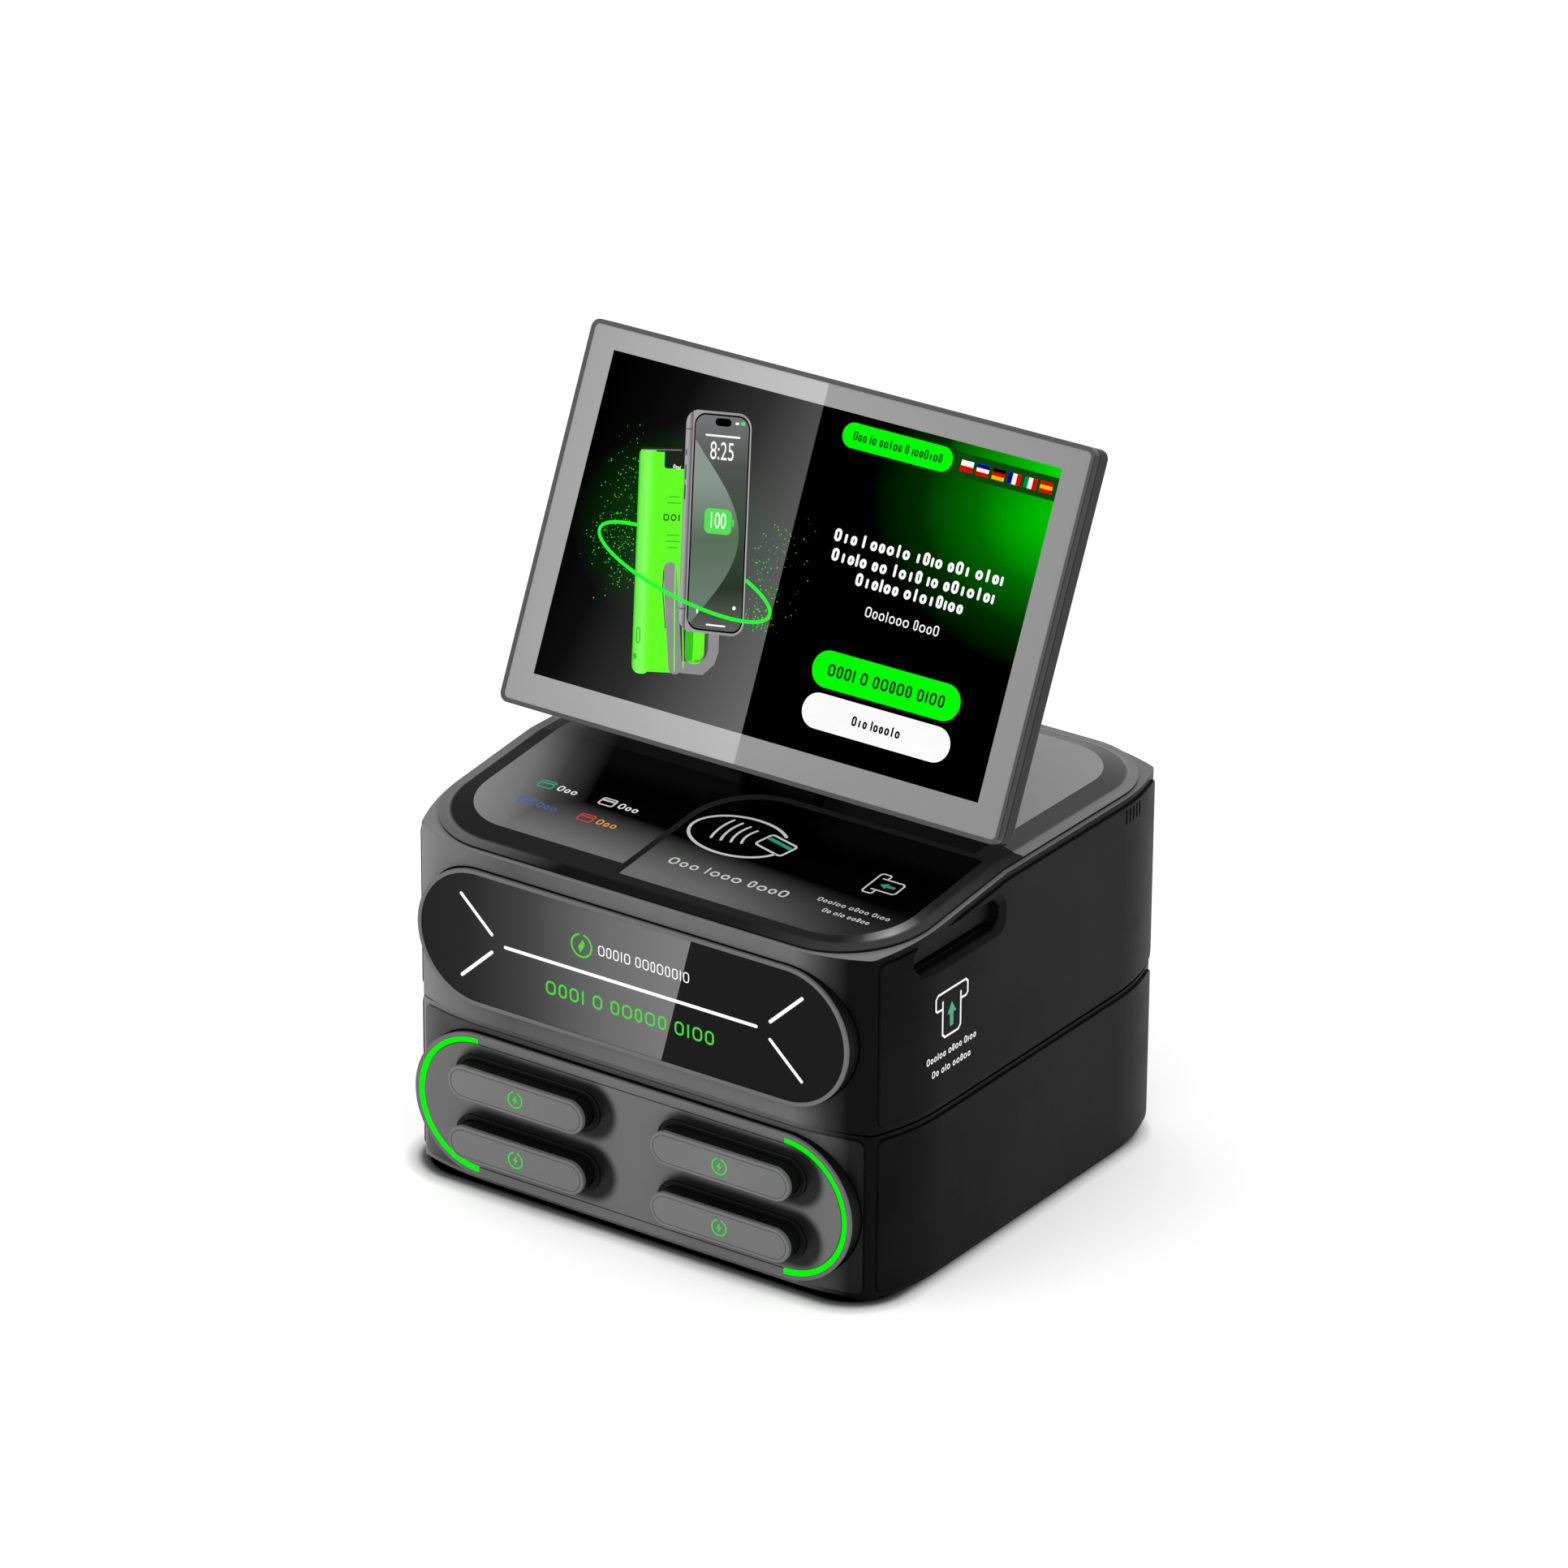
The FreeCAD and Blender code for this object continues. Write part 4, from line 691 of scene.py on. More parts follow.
class STATION_OT_finishes(bpy.types.Operator):
    """Give every moulded, painted, metal and board part its finish"""
    bl_idname = "station.finishes"
    bl_label = "Finishes"

    def execute(self, context):
        colours = context.scene.station_colours
        make_shell(colours)
        make_lower_front()
        make_sign_window()
        make_top_gloss()
        make_rear_top()
        make_slot_face(colours)
        make_glass(screen_plane())
        make_backdrop(screen_plane())
        make_side_panels()
        plain("trim_black", (0.003, 0.003, 0.003), 0.5, ior=1.2, grain=1500.0, bevel=0.0002)
        plain("cap_grey", tuple(colours.cap), 0.36, specular=0.25, grain=1800.0, bevel=0.0002, vary=0.05)
        plain("rim_grey", (0.115, 0.115, 0.116), 0.34, grain=1400.0, ior=1.3, vary=0.05)
        plain("bank_black", (0.005, 0.005, 0.0053), 0.42, ior=1.25, grain=1700.0)
        make_screen_rim()
        plain("casing_black", (0.007, 0.007, 0.0073), 0.40, ior=1.25, grain=1300.0, bevel=0.0005)
        plain("steel", (0.52, 0.53, 0.54), 0.28, metallic=1.0, grain=500.0, vary=0.06, bevel=0.0002)
        plain("board_green", (0.01, 0.09, 0.045), 0.35, grain=240.0, depth=0.00008, vary=0.4)
        plain("brass", (0.75, 0.55, 0.22), 0.25, metallic=1.0, grain=700.0)
        plain("rubber", (0.014, 0.014, 0.014), 0.75, specular=0.3, grain=2200.0, depth=0.00004)
        plain("inner_grey", (0.16, 0.16, 0.165), 0.5, grain=1000.0)
        plain("switch_black", (0.015, 0.015, 0.016), 0.2, grain=600.0, coat=0.4)
        lit("light_green", tuple(colours.glow), 1.0)
        lit("ink_green", tuple(colours.glow), 1.0)
        lit("lime", tuple(colours.lime), 0.92)
        plain("ink", tuple(colours.ink), 0.45, vary=0.03)
        plain("ink_soft", (0.58, 0.58, 0.58), 0.45, vary=0.05)
        plain("mint", tuple(colours.mint), 0.4)
        plain("ink_blue", (0.02, 0.09, 0.36), 0.4)
        plain("ink_red", (0.55, 0.02, 0.02), 0.4)
        plain("ink_amber", (0.80, 0.30, 0.03), 0.4)
        cover("shell_black", "upper_housing", "lower_housing")
        cover("panel_front", "lower_front_panel")
        cover("panel_black", "upper_side_panel_left", "upper_side_panel_right", "lower_side_panel_left",
              "lower_side_panel_right", "rear_panel")
        cover("trim_black", "base_tray", "card_pocket", "sign_body", "slot_face_body", "slot_collars",
              "top_plate_gasket", "speaker")
        cover("face_grey", "slot_face_plate")
        cover("rim_grey", "sign_rim")
        cover("sign_window", "sign_window")
        cover("top_gloss", "front_top_plate")
        cover("rear_top", "rear_top_plate")
        cover("screen_glass", "touch_glass")
        cover("screen_rim", "screen_frame")
        cover("casing_black", "screen_back_cover")
        cover("light_green", "slot_light_guides")
        cover("steel", "hinge_base", "hinge_leaf", "hinge_pin", "cover_screws", "power_supply")
        cover("board_green", "main_board", "screen_board", "tap_antenna")
        cover("rubber", "rubber_feet")
        cover("inner_grey", "card_reader", "lock_motors", "sleeve_carriers", "slot_contact_blocks",
              "lcd_panel")
        cover("switch_black", "switch_rocker", "power_inlet")
        for i in range(1, 5):
            cover("bank_black", "power_bank_shell_%d" % i)
            cover("cap_grey", "power_bank_cap_%d" % i)
            cover("brass", "power_bank_contacts_%d" % i)
            cover("inner_grey", "slot_sleeve_%d" % i)
            cover("steel", "lock_hook_%d" % i)
        return {"FINISHED"}


def bolt(sheet, finish, x, y, size, layer=0):
    shape = ((0.55, 2.3), (-1.25, -0.35), (-0.15, -0.35), (-0.55, -2.3), (1.25, 0.35), (0.15, 0.35))
    points = [(x + px * size, y + py * size) for px, py in shape]
    sheet.add(finish, points, layer=layer)


class STATION_OT_sign(bpy.types.Operator):
    """Print the sign window's lines, round charge mark and placeholder text"""
    bl_idname = "station.sign"
    bl_label = "Sign print"

    def execute(self, context):
        sizes = context.scene.station_sizes
        line = sizes.sign_line / MM
        plane = Plane((0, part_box("sign_window")[0][1], middle("sign_window").z), (1, 0, 0), (0, 0, 1))
        sheet = Sheet()
        sheet.path("ink", [(-61.3, -0.1), (61.3, -0.1)], line)
        for side in (-1, 1):
            for up in (-1, 1):
                sheet.path("ink", [(side * 68.0, up * 3.9 - 0.1), (side * 83.1, up * 18.0)], line)
        sheet.arc("lime", -23.5, 11.3, 4.9, 105, 435, 0.8)
        bolt(sheet, "lime", -23.5, 11.1, 1.35)
        sheet.words("ink", -15.3, 29.0, 11.6, 4.6, (5, 8), line=0.11, capital=True)
        sheet.words("lime", -41.2, 41.0, -11.6, sizes.sign_text / MM, (4, 1, 5, 4), line=0.14, capital=True)
        sheet.build("sign_print", plane, "station")
        return {"FINISHED"}


class STATION_OT_caps(bpy.types.Operator):
    """Fill the charge mark sunk in each power bank's cap with green"""
    bl_idname = "station.caps"
    bl_label = "Cap marks"

    def execute(self, context):
        for i in range(1, 5):
            cap = "power_bank_cap_%d" % i
            centre = middle(cap)
            centre.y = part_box(cap)[0][1] + 0.2 * MM
            plane = Plane(centre, (1, 0, 0), (0, 0, 1))
            sheet = Sheet()
            sheet.arc("ink_green", 0, 0, 3.425, 105, 435, 0.5)
            bolt(sheet, "ink_green", 0, 0, 0.96)
            sheet.build("cap_mark_%d" % i, plane, "power_bank_%d" % i, lift=0.16 * MM)
        return {"FINISHED"}


def card_mark(sheet, finish, x, y, size=1.0, turned=False):
    """A card pushed into a slot, with an arrow; turned lays it on its side."""
    def put(points):
        return [(x - b * size, y + a * size) if turned else (x + a * size, y + b * size) for a, b in points]

    line = 0.95 * (size + 1) / 2
    sheet.path(finish, put([(-7.2, 2.9), (-10.1, 2.9), (-11.1, 3.9), (-11.1, 8.5), (-9.7, 9.9), (9.7, 9.9),
                            (11.1, 8.5), (11.1, 3.9), (10.1, 2.9), (7.2, 2.9)]), line)
    sheet.path(finish, put([(-6.3, 5.9), (-6.3, -8.3), (-4.7, -9.9), (4.7, -9.9), (6.3, -8.3),
                            (6.3, 5.9)]), line)
    sheet.add("mint", put([(-1.2, -6.5), (1.2, -6.5), (1.2, -0.9), (-1.2, -0.9)]))
    sheet.add("mint", put([(-3.1, -0.9), (3.1, -0.9), (0, 4.1)]))


class STATION_OT_top(bpy.types.Operator):
    """Print the tap mark, the card mark and the payment marks on the top plate"""
    bl_idname = "station.top"
    bl_label = "Top print"

    def execute(self, context):
        line = context.scene.station_sizes.mark_line / MM
        ratio = math.sqrt(1 + ROOF_SLOPE ** 2)

        def place(x, y):
            return x, (y - CREASE / MM) * ratio

        pad = Sheet()
        x, y = place(11.3, -46.7)
        pad.arc("ink_soft", x, y, 22.0, 38, 342, 1.4, squash=0.655, steps=56)
        tilt = math.radians(-14)
        card = ((x + 17.5, y + 1.6), (math.cos(tilt), math.sin(tilt)), (-math.sin(tilt), math.cos(tilt)))
        pad.outline("ink_soft", 0, 0, 15.0, 9.6, 1.6, 1.1, frame_of=card)
        pad.add("mint", skewed([(-6.6, 0.9), (6.6, 0.9), (6.6, 2.9), (-6.6, 2.9)], card))
        for step in range(4):
            pad.arc("ink_soft", x + 15.0, y + 1.6, 12.0 + 4.4 * step, 152 + 3 * step, 206 - 3 * step, 1.15)
        x0, y = place(-2.0, -74.6)
        pad.words("ink_soft", x0, 55.0, y, 5.0, (3, 4, 4))
        x, y = place(85.0, -50.2)
        card_mark(pad, "ink_soft", x, y, 0.68, True)
        x0, y = place(67.0, -70.8)
        pad.words("ink_soft", x0, 101.0, y, 2.8, (6, 4, 4))
        x0, y = place(73.5, -77.0)
        pad.words("ink_soft", x0, 95.5, y, 2.8, (2, 3, 5))
        pad.build("tap_print", top_plane(1.35), "station")
        pay = Sheet()
        marks = ((-73.6, -52.0, "ink", "mint"), (-43.5, -51.8, "ink", "ink_soft"),
                 (-73.2, -66.6, "ink_blue", "ink_blue"), (-43.8, -66.2, "ink_amber", "ink_red"))
        for right, back, finish, trim in marks:
            x, y = place(right, back)
            pay.outline(trim, x - 5.5, y, 6.8, 5.0, 1.0, 0.8)
            pay.box(trim, x - 5.5, y + 0.9, 6.4, 1.1)
            pay.words(finish, x, x + 9.5, y, 4.0, (3,))
        pay.build("payment_print", top_plane(), "station")
        return {"FINISHED"}


class STATION_OT_side(bpy.types.Operator):
    """Print the card pictogram and its two text lines below the card pocket"""
    bl_idname = "station.side"
    bl_label = "Side print"

    def execute(self, context):
        plane = Plane((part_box("upper_side_panel_right")[1][0], 0, 0), (0, 1, 0), (0, 0, 1))
        sheet = Sheet()
        card_mark(sheet, "ink", -53.3, 116.1)
        sheet.words("ink", -70.4, -35.8, 99.4, 3.1, (6, 4, 4))
        sheet.words("ink", -66.6, -39.6, 92.6, 3.1, (2, 3, 5))
        sheet.build("side_print", plane, "station")
        return {"FINISHED"}


# slanted frames of the pictured power bank and phone: place, right and up on the screen, in millimetres
BANK_FRAME = ((-63.0, -55.5), (0.985, 0.19), (-0.243, 0.970))
PHONE_FRAME = ((-41.2, 10.2), (0.99, 0.14), (-0.238, 0.971))

PICTURE_TONES = {
    "white": (1.0, 1.0, 1.0), "black": (0.0, 0.0, 0.0), "green": (0.0, 1.0, 0.0),
    "glow": (0.02, 1.0, 0.03), "lime": (0.13, 1.0, 0.02), "lime_dark": (0.04, 0.55, 0.015),
    "battery": (0.09, 0.78, 0.09), "bar": (0.004, 0.065, 0.004), "grey": (0.29, 0.28, 0.29),
    "grey_dark": (0.10, 0.10, 0.10), "label": (0.012, 0.02, 0.012), "red": (0.75, 0.0, 0.0),
    "blue": (0.0, 0.0, 0.42), "yellow": (0.9, 0.55, 0.0), "leaf": (0.0, 0.28, 0.05)
}


def picture_finishes(plane):
    """Lit colours of the screen picture."""
    for name, tone in PICTURE_TONES.items():
        lit("pic_" + name, tone)
    across = skew_direction(plane, BANK_FRAME)
    edge = plane.at(*skewed([(0.0, 40.0)], BANK_FRAME)[0], 0)
    green = (0.13, 1.0, 0.02)
    lit_fade("pic_bank_side", edge, across, ((0.0, (0.06, 0.60, 0.02)), (0.0012, (0.16, 0.9, 0.08)),
                                             (0.0042, (0.24, 1.0, 0.12)), (0.0072, green), (0.0085, green)))
    across = skew_direction(plane, PHONE_FRAME)
    edge = plane.at(*skewed([(-15.6, 0.0)], PHONE_FRAME)[0], 0)
    lit_fade("pic_case", edge, across, ((0.0, 0.30), (0.0010, 0.42), (0.0022, 0.26), (0.0030, 0.10),
                                        (0.0036, 0.35), (0.028, 0.30), (0.0312, 0.46)))
    down = -(plane.up * 0.97 - plane.right * 0.24)
    top = plane.at(*skewed([(0.0, 44.0)], PHONE_FRAME)[0], 0)
    lit_fade("pic_phone", top, down, ((0.0, (0.17, 0.18, 0.18)), (0.022, (0.075, 0.085, 0.078)),
                                      (0.045, (0.045, 0.075, 0.046)), (0.07, (0.022, 0.038, 0.022)),
                                      (0.086, (0.10, 0.115, 0.10))))
    lit_fade("pic_wave", top, down, ((0.0, (0.27, 0.31, 0.29)), (0.026, (0.25, 0.31, 0.27)),
                                     (0.05, (0.10, 0.155, 0.105)), (0.086, (0.17, 0.22, 0.18))))
    lit_fade("pic_strip", plane.at(56.8, 0, 0), plane.right,
             ((0.0, (0.0, 0.06, 0.0)), (0.026, (0.0, 0.32, 0.0)), (0.052, (0.0, 0.68, 0.0))))


def skew_direction(plane, frame_of):
    """Direction on the screen that crosses lines along the frame's up at a right angle."""
    _, _, (ux, uy) = frame_of
    return plane.right * uy - plane.up * ux


class STATION_OT_picture(bpy.types.Operator):
    """Draw the screen picture: phone, power bank, glowing ring, text and buttons"""
    bl_idname = "station.picture"
    bl_label = "Screen picture"

    def execute(self, context):
        sizes = context.scene.station_sizes
        plane = screen_plane()
        picture_finishes(plane)
        sheet = Sheet()
        sheet.box("screen_backdrop", 0, 0, 217.0, 135.2)
        self.draw_bank(sheet)
        self.draw_phone(sheet)
        self.draw_ring(sheet, sizes.orbit / MM)
        self.draw_menu(sheet, sizes.pill / MM)
        sheet.build("screen_picture", plane, "screen", step=SCREEN_STEP)
        digits(plane, "clock_digits", "8:25", (2.2, 29.4), 10.4, 0.66)
        digits(plane, "charge_digits", "100", (1.2, 1.4), 9.2, 0.62)
        return {"FINISHED"}

    def draw_bank(self, sheet):
        at = BANK_FRAME
        # the loop of the bank's own cable, and the bank's far half inside it
        cable = [(38.4, 22.0), (38.4, 9.5), (37.0, 5.6), (33.0, 2.3), (24.0, 2.6)]
        sheet.path("pic_grey", skewed(cable, at), 5.0, 1)
        sheet.path("pic_grey_dark", skewed([(35.5, 20.0), (35.4, 9.6), (32.6, 5.4), (28.5, 4.8)], at), 1.0, 2)
        sheet.box("pic_lime", 29.6, 14.0, 9.0, 20.0, (0.0, 4.0), 2, at)
        sheet.box("pic_lime_dark", 27.0, 14.5, 3.6, 19.0, (0.0, 1.6), 3, at)
        # near half: bright rounded side, printed face, dark label and top edge
        sheet.box("pic_lime", 13.0, 44.5, 17.0, 89.0, (0.8, 3.4), 3, at)
        sheet.box("pic_bank_side", 4.4, 44.3, 8.8, 90.6, (1.6, 3.8), 4, at)
        sheet.box("pic_label", 17.6, 86.4, 11.0, 8.0, (0.0, 1.2), 4, at)
        sheet.box("pic_label", 10.6, 90.2, 20.4, 1.3, 0.4, 5, at)
        sheet.path("pic_grey", skewed([(1.0, 89.6), (20.0, 90.0)], at), 0.35, 6)
        sheet.words("pic_white", *self.on_bank(17.0, 20.6), 28.6, 1.6, (4,), 5)
        for y, width in ((71.0, 5.0), (68.5, 6.5), (55.5, 6.0), (53.0, 6.5), (50.5, 4.5)):
            sheet.box("pic_lime_dark", 17.4, y, width, 0.45, 0.2, 5, at)
        sheet.outline("pic_label", 13.9, 62.6, 2.2, 2.2, 0.7, 0.5, 5, at)
        sheet.outline("pic_label", 17.4, 62.6, 2.2, 2.2, 1.1, 0.5, 5, at)
        sheet.box("pic_label", 20.0, 62.6, 0.6, 2.6, 0.2, 5, at)
        # the cable clipped along the bank's face
        sheet.path("pic_grey", skewed([(16.6, 41.5), (18.2, 26.0), (20.7, 2.6)], at), 6.4, 5)
        sheet.path("pic_lime", skewed([(19.2, 46.0), (19.4, 26.0), (20.4, 0.8)], at), 0.6, 6)
        sheet.path("pic_lime", skewed([(23.4, 36.0), (23.6, 20.0), (24.6, 2.4)], at), 0.6, 6)
        groove = [(13.6, 41.0), (13.5, 33.0), (14.6, 25.0), (15.4, 18.0)]
        sheet.path("pic_grey_dark", skewed(groove, at), 0.5, 6)
        sheet.outline("pic_lime_dark", 2.6, 14.5, 1.5, 6.0, 0.7, 0.5, 6, at)
        sheet.box("pic_lime_dark", 1.4, 6.0, 1.6, 2.4, 0.7, 6, at)

    def on_bank(self, x0, x1):
        return tuple(skewed([(x, 86.0)], BANK_FRAME)[0][0] for x in (x0, x1))

    def draw_phone(self, sheet):
        at = PHONE_FRAME
        sheet.box("pic_case", 0, 0.8, 31.2, 89.6, 6.0, 7, at)
        for y, tall in ((28.0, 2.6), (20.0, 6.0), (12.0, 6.0)):
            sheet.box("pic_grey_dark", -14.9, y, 0.7, tall, 0.3, 8, at)
        for y in (37.5, -35.0):
            sheet.box("pic_grey_dark", -13.8, y, 3.4, 0.5, 0.2, 8, at)
        sheet.box("pic_black", 1.7, 0.8, 26.6, 87.6, 5.4, 8, at)
        sheet.box("pic_phone", 1.7, 0.8, 25.4, 86.2, 4.9, 9, at)
        # a soft wave as the phone's background
        wave = []
        for i in range(29):
            v = 33.0 - 73.0 * i / 28
            wave.append((-10.4 + 22.0 * math.cos(math.radians((v + 4.0) * 2.4)) ** 1.1, v))
        sheet.add("pic_wave", skewed([(-10.8, 33.0)] + wave + [(-10.8, -40.0)], at), layer=10)
        sheet.box("pic_black", 2.2, 41.4, 7.6, 3.2, 1.6, 10, at)
        sheet.box("pic_battery", 11.6, 41.6, 2.0, 1.5, 0.4, 10, at)
        sheet.box("pic_white", 8.8, 41.4, 1.7, 1.0, 0.4, 10, at)
        sheet.box("pic_white", 2.2, 35.8, 16.6, 0.8, 0.4, 11, at)
        sheet.box("pic_battery", 1.5, 1.4, 13.0, 10.2, 2.4, 11, at)
        sheet.box("pic_battery", 8.7, 1.4, 0.8, 3.0, 0.4, 11, at)
        sheet.box("pic_white", 2.4, -40.4, 9.2, 0.7, 0.3, 11, at)
        sheet.box("pic_white", -6.6, -35.0, 0.8, 2.6, 0.3, 11, at)
        x, y = skewed([(10.8, -32.7)], at)[0]
        sheet.disc("pic_white", x, y, 0.8, 11)

    def draw_ring(self, sheet, line):
        middle = (-49.9, -11.3)
        wide = 44.9
        high = 10.8
        turn = math.radians(-9.9)
        points = []
        for i in range(73):
            a = math.radians(131 + 279 * i / 72)
            x = wide * math.cos(a)
            y = high * math.sin(a)
            points.append((middle[0] + x * math.cos(turn) - y * math.sin(turn),
                           middle[1] + x * math.sin(turn) + y * math.cos(turn)))
        sheet.path("pic_glow", points, line, 12)

    def draw_menu(self, sheet, pill):
        sheet.box("pic_strip", 82.6, 65.6, 51.6, 4.0, 0.0, 1)
        sheet.box("pic_bar", 84.6, 58.9, 47.8, 9.2, 0.0, 2)
        blue_bands = ("pic_blue", "pic_white", "pic_red")
        bands = ((("pic_white", "pic_red"), False), (blue_bands, False),
                 (("pic_black", "pic_red", "pic_yellow"), False), (blue_bands, True),
                 (("pic_leaf", "pic_white", "pic_red"), True), (("pic_red", "pic_yellow", "pic_red"), False))
        for i, (tones, upright) in enumerate(bands):
            x = 66.3 + i * 7.46
            count = len(tones)
            for k, tone in enumerate(tones):
                shift = k - (count - 1) / 2
                if upright:
                    sheet.box(tone, x + shift * 5.8 / count, 58.8, 5.8 / count, 4.4, 0.0, 3)
                else:
                    sheet.box(tone, x, 58.8 - shift * 4.4 / count, 5.8, 4.4 / count, 0.0, 3)
        sheet.box("pic_green", 33.0, 59.1, 52.6, 10.2, 5.1, 3)
        sheet.words("pic_black", 12.0, 54.4, 59.2, 3.8, (3, 2, 5, 1, 7), 4, line=0.16)
        lines = ((14.6, 95.0, 19.4, (3, 1, 5, 4, 3, 4)), (15.6, 93.0, 11.6, (5, 2, 4, 2, 7)),
                 (29.2, 80.4, 4.4, (6, 8)))
        for x0, x1, y, letters in lines:
            sheet.words("pic_white", x0, x1, y, 5.2, letters, 2, line=0.23)
        sheet.words("pic_white", 37.2, 72.2, -7.0, 4.2, (7, 4), 2, line=0.13)
        sheet.box("pic_green", 54.7, -33.2, 70.6, pill + 0.6, pill, 2)
        sheet.words("pic_black", 27.0, 82.6, -33.2, 5.0, (4, 1, 5, 4), 3, line=0.17, capital=True)
        sheet.box("pic_white", 54.8, -50.2, 70.6, pill, pill, 2)
        sheet.words("pic_black", 43.4, 66.4, -50.2, 4.0, (3, 6), 3, line=0.2)


def digits(plane, name, figures, place, size, squeeze):
    """Plain figures on the pictured phone, as a flat piece."""
    curve = bpy.data.curves.new(name + "_curve", "FONT")
    curve.body = figures
    curve.size = size
    curve.align_x = "CENTER"
    curve.align_y = "CENTER"
    source = placed(name + "_curve", curve)
    shape = source.evaluated_get(bpy.context.evaluated_depsgraph_get())
    mesh = bpy.data.meshes.new_from_object(shape)
    mesh.name = name
    bpy.data.objects.remove(source)
    lift = PRINT_LIFT + DIGIT_LAYER * SCREEN_STEP
    for vertex in mesh.vertices:
        local = (place[0] + vertex.co.x * squeeze, place[1] + vertex.co.y)
        x, y = skewed([local], PHONE_FRAME)[0]
        vertex.co = plane.at(x, y, lift)
    mesh.materials.clear()
    mesh.materials.append(FINISHES["pic_white"])
    piece = placed(name, mesh)
    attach(piece, "screen")


# ---- repeated pieces made with geometry nodes ------------------------------
def tree_with_output(name, inputs):
    tree = bpy.data.node_groups.new(name, "GeometryNodeTree")
    tree.interface.new_socket("Geometry", in_out="INPUT", socket_type="NodeSocketGeometry")
    for label, kind, value in inputs:
        socket = tree.interface.new_socket(label, in_out="INPUT", socket_type=kind)
        socket.default_value = value
    tree.interface.new_socket("Geometry", in_out="OUTPUT", socket_type="NodeSocketGeometry")
    return tree, tree.nodes.new("NodeGroupInput").outputs, tree.nodes.new("NodeGroupOutput")


def finish_tree(tree, instances, output, material):
    real = step(tree, "GeometryNodeRealizeInstances", {"Geometry": instances})
    paint = step(tree, "GeometryNodeSetMaterial", {
        "Geometry": real.outputs["Geometry"], "Material": material})
    tree.links.new(paint.outputs["Geometry"], output.inputs["Geometry"])


def grown(name, base, tree, values):
    """Run a tree on a base mesh and keep the result as a plain mesh object."""
    source = new_object(name + "_base", base)
    modifier = source.modifiers.new("grow", "NODES")
    modifier.node_group = tree
    for item in tree.interface.items_tree:
        if item.item_type == "SOCKET" and item.in_out == "INPUT" and item.name in values:
            modifier[item.identifier] = values[item.name]
    shape = source.evaluated_get(bpy.context.evaluated_depsgraph_get())
    mesh = bpy.data.meshes.new_from_object(shape)
    mesh.name = name
    source.modifiers.remove(modifier)
    bpy.data.objects.remove(source)
    return placed(name, mesh)


class STATION_OT_sparks(bpy.types.Operator):
    """Scatter small green sparks round the glowing ring on the screen"""
    bl_idname = "station.sparks"
    bl_label = "Screen sparks"

    def execute(self, context):
        plane = screen_plane()
        tree, given, output = tree_with_output("spark_scatter", (
            ("Spark radius", "NodeSocketFloat", 0.0003), ("Density", "NodeSocketFloat", 200000.0),
            ("Seed", "NodeSocketInt", 7)))
        scatter = step(tree, "GeometryNodeDistributePointsOnFaces", {
            "Mesh": given["Geometry"], "Density": given["Density"], "Seed": given["Seed"]}).outputs
        spark = step(tree, "GeometryNodeMeshCircle", {"Vertices": 6, "Radius": given["Spark radius"]},
                     fill_type="NGON")
        spread = step(tree, "FunctionNodeRandomValue", {"Min": 0.3, "Max": 1.1, "Seed": given["Seed"]})
        place = step(tree, "GeometryNodeInstanceOnPoints", {
            "Points": scatter["Points"], "Rotation": scatter["Rotation"], "Instance": spark.outputs["Mesh"],
            "Scale": spread.outputs["Value"]})
        finish_tree(tree, place.outputs["Instances"], output, FINISHES["pic_glow"])
        radius = context.scene.station_sizes.sparkle
        lift = PRINT_LIFT + 1.6 * SCREEN_STEP
        fields = (((-90, 20), 9.0, 22.0, 0.16), ((-86, 12), 7.0, 16.0, 0.3), ((-88, -4), 11.0, 9.0, 0.7),
                  ((-78, -14), 10.0, 11.0, 0.6), ((-84, -10), 18.0, 24.0, 0.08), ((-12, -4), 9.0, 22.0, 0.35),
                  ((-11, -22), 8.0, 5.0, 1.5), ((-4, 0), 13.0, 28.0, 0.09), ((-34, -24), 16.0, 4.0, 0.7))
        for i, ((x, y), wide, high, thick) in enumerate(fields):
            base = bmesh.new()
            ring = []
            for k in range(24):
                a = 2 * math.pi * k / 24
                ring.append(base.verts.new(plane.at(x + wide * math.cos(a), y + high * math.sin(a), lift)))
            base.faces.new(ring)
            piece = grown("sparks_%d" % i, base, tree, {
                "Spark radius": radius, "Density": FULL_DENSITY * thick, "Seed": FIRST_SEED + i})
            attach(piece, "screen")
        return {"FINISHED"}


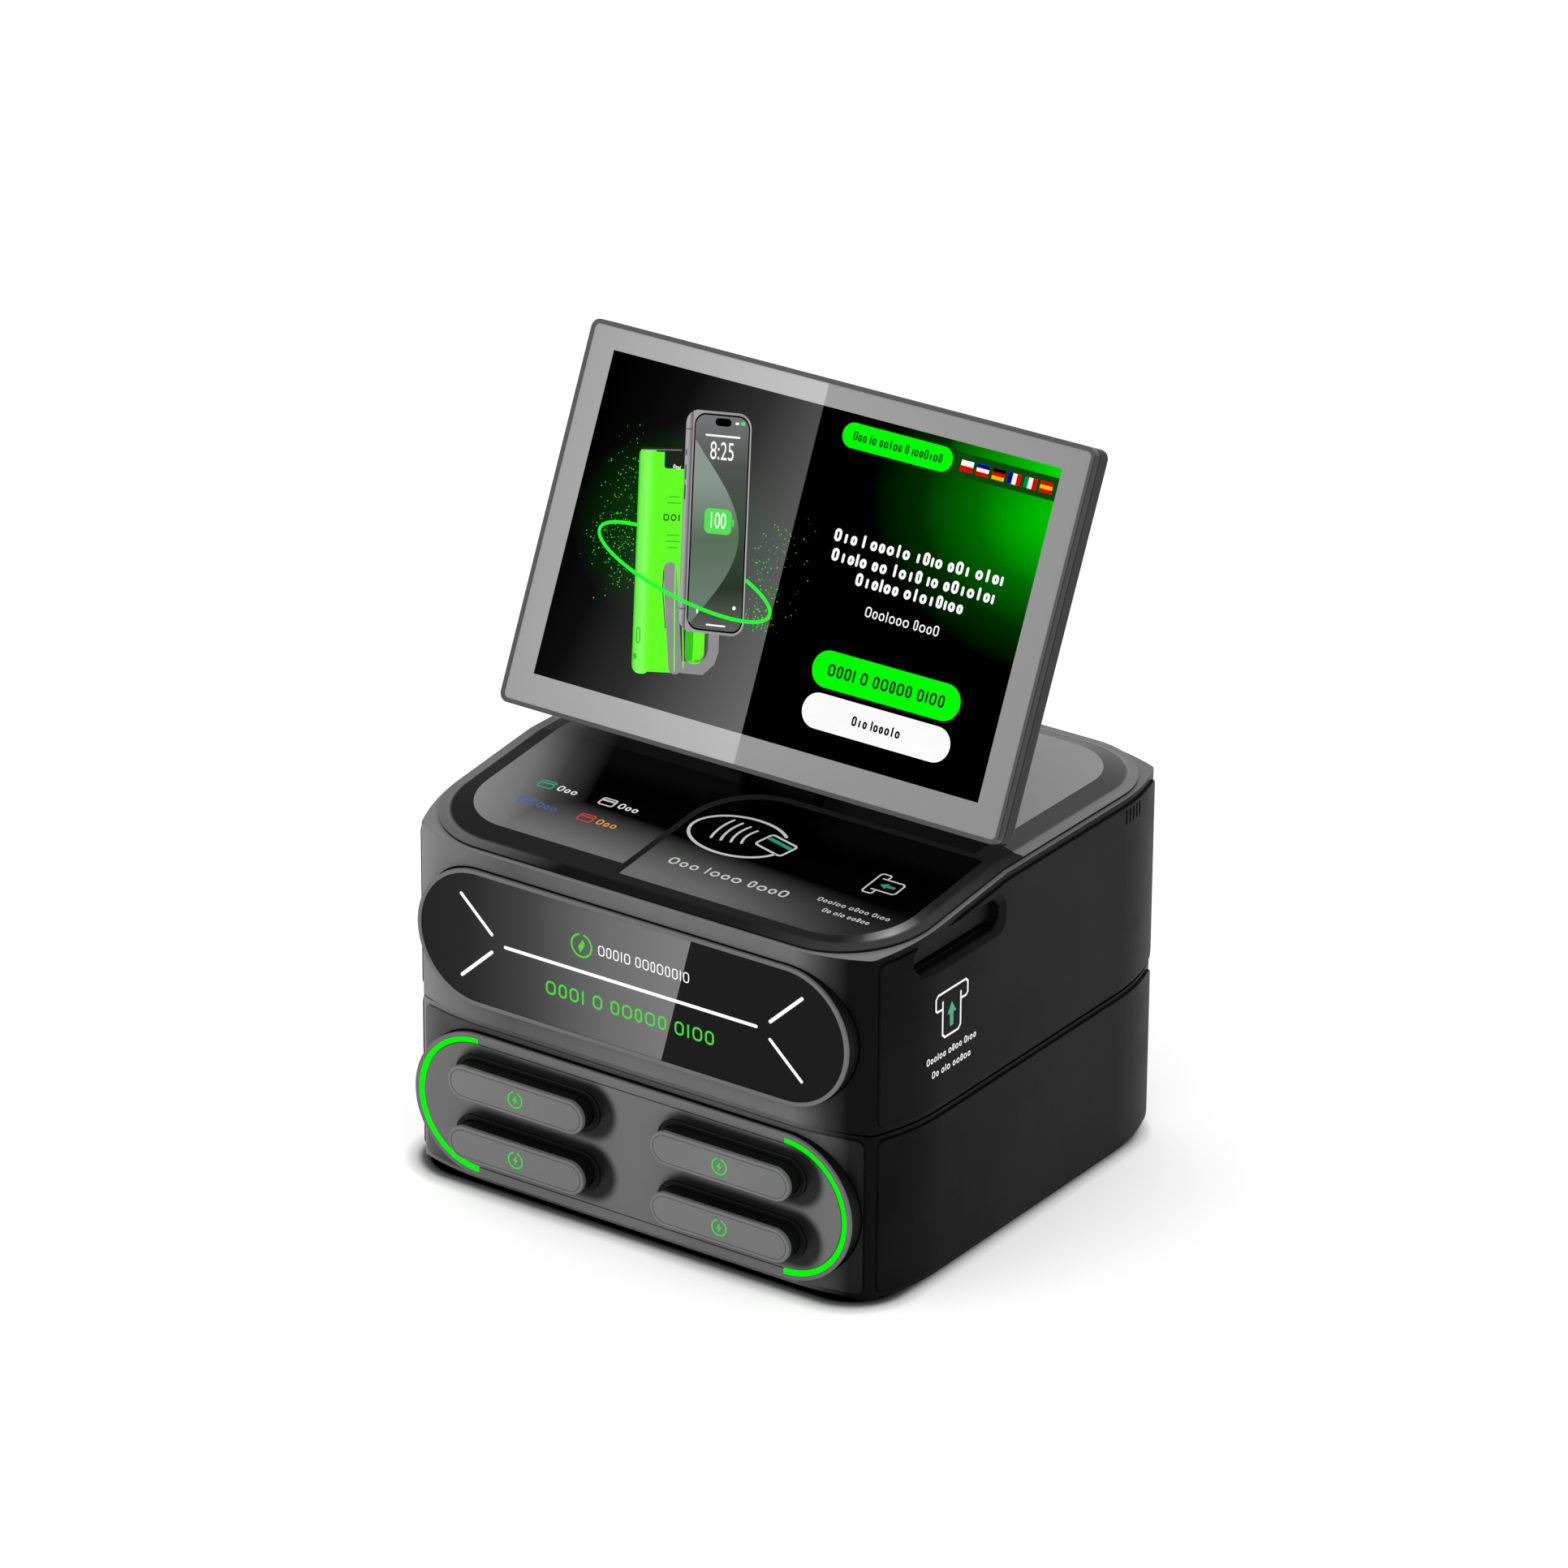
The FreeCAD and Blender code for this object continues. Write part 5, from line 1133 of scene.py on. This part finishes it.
class STATION_OT_screws(bpy.types.Operator):
    """Set small dished screws round the screen's back cover"""
    bl_idname = "station.screws"
    bl_label = "Back screws"

    def execute(self, context):
        radius = context.scene.station_sizes.screw
        glass = screen_plane()
        back = Plane(glass.origin - glass.out * 11.52 * MM - glass.up * 1.7 * MM, (-1, 0, 0), glass.up)
        base = bmesh.new()
        for x in (-104, -36, 36, 104):
            for y in (-66, 66):
                base.verts.new(back.at(x, y, 0))
        tree, given, output = tree_with_output("screw_row", (
            ("Head radius", "NodeSocketFloat", 0.0024), ("Head height", "NodeSocketFloat", 0.0008)))
        head = step(tree, "GeometryNodeMeshCylinder", {
            "Vertices": 24, "Radius": given["Head radius"], "Depth": given["Head height"]})
        cross = step(tree, "GeometryNodeMeshCube", {"Size": (0.003, 0.0006, 0.0006)})
        lift = step(tree, "GeometryNodeTransform", {
            "Geometry": cross.outputs["Mesh"], "Translation": (0.0, 0.0, 0.00045)})
        cut = step(tree, "GeometryNodeMeshBoolean", {
            "Mesh 1": head.outputs["Mesh"], "Mesh 2": lift.outputs["Geometry"]}, operation="DIFFERENCE")
        turn = Matrix((back.right, back.up, back.out)).transposed().to_euler()
        place = step(tree, "GeometryNodeInstanceOnPoints", {
            "Points": given["Geometry"], "Instance": cut.outputs["Mesh"], "Rotation": turn})
        finish_tree(tree, place.outputs["Instances"], output, FINISHES["steel"])
        piece = grown("back_screws", base, tree, {"Head radius": radius, "Head height": 0.0008})
        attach(piece, "screen")
        return {"FINISHED"}


class STATION_OT_stage(bpy.types.Operator):
    """Set the pale floor, the soft light and the camera"""
    bl_idname = "station.stage"
    bl_label = "Stage"

    def execute(self, context):
        stage = context.scene.station_stage
        base = bmesh.new()
        bmesh.ops.create_grid(base, x_segments=1, y_segments=1, size=9.0)
        floor = new_object("floor", base)
        make_floor()
        floor.data.materials.append(FINISHES["floor_pale"])
        world = bpy.data.worlds.new("studio")
        context.scene.world = world
        world.use_nodes = True
        background = world.node_tree.nodes["Background"]
        background.inputs["Color"].default_value = (1.0, 1.0, 1.0, 1.0)
        background.inputs["Strength"].default_value = stage.sky
        context.scene.view_settings.view_transform = "Standard"
        add_light("key", (-2.2, -3.0, 2.6), (0, 0, 0.12), 3.4, stage.key)
        target = Vector((-7.16, 11.5, 156.37)) * MM
        level = math.cos(stage.elevation)
        away = Vector((math.sin(stage.azimuth) * level, -math.cos(stage.azimuth) * level,
                       math.sin(stage.elevation)))
        camera = placed("camera", bpy.data.cameras.new("camera"))
        camera.location = target + away * stage.distance
        turn = (-away).to_track_quat("-Z", "Y").to_matrix() @ Matrix.Rotation(stage.roll, 3, "Z")
        camera.rotation_euler = turn.to_euler()
        camera.data.lens = stage.lens
        camera.data.sensor_width = 36.0
        camera.data.clip_end = 50.0
        context.scene.camera = camera
        return {"FINISHED"}


def add_light(name, place, target, size, power):
    lamp = bpy.data.lights.new(name, "AREA")
    lamp.shape = "DISK"
    lamp.size = size
    lamp.energy = power
    light = placed(name, lamp)
    light.location = place
    light.rotation_euler = (Vector(target) - Vector(place)).to_track_quat("-Z", "Y").to_euler()


OPERATORS = (STATION_OT_finishes, STATION_OT_sign, STATION_OT_caps, STATION_OT_top, STATION_OT_side,
             STATION_OT_picture, STATION_OT_sparks, STATION_OT_screws, STATION_OT_stage)


class STATION_PT_panel(bpy.types.Panel):
    """Lists the station's pieces and their settings"""
    bl_idname = "STATION_PT_panel"
    bl_label = "Power bank station"
    bl_space_type = "VIEW_3D"
    bl_region_type = "UI"
    bl_category = "Station"

    def draw(self, context):
        for operator in OPERATORS:
            self.layout.operator(operator.bl_idname)
        scene = context.scene
        for group in (scene.station_colours, scene.station_sizes, scene.station_stage):
            for name in group.__annotations__:
                self.layout.prop(group, name)


CLASSES = (StationColours, StationSizes, StationStage) + OPERATORS + (STATION_PT_panel,)


def register():
    for entry in CLASSES:
        bpy.utils.register_class(entry)
    bpy.types.Scene.station_colours = bpy.props.PointerProperty(type=StationColours)
    bpy.types.Scene.station_sizes = bpy.props.PointerProperty(type=StationSizes)
    bpy.types.Scene.station_stage = bpy.props.PointerProperty(type=StationStage)


def unregister():
    del bpy.types.Scene.station_stage
    del bpy.types.Scene.station_sizes
    del bpy.types.Scene.station_colours
    for entry in reversed(CLASSES):
        bpy.utils.unregister_class(entry)


def main():
    register()
    for operator in OPERATORS:
        group, name = operator.bl_idname.split(".")
        getattr(getattr(bpy.ops, group), name)()


if __name__ == "__main__":
    main()
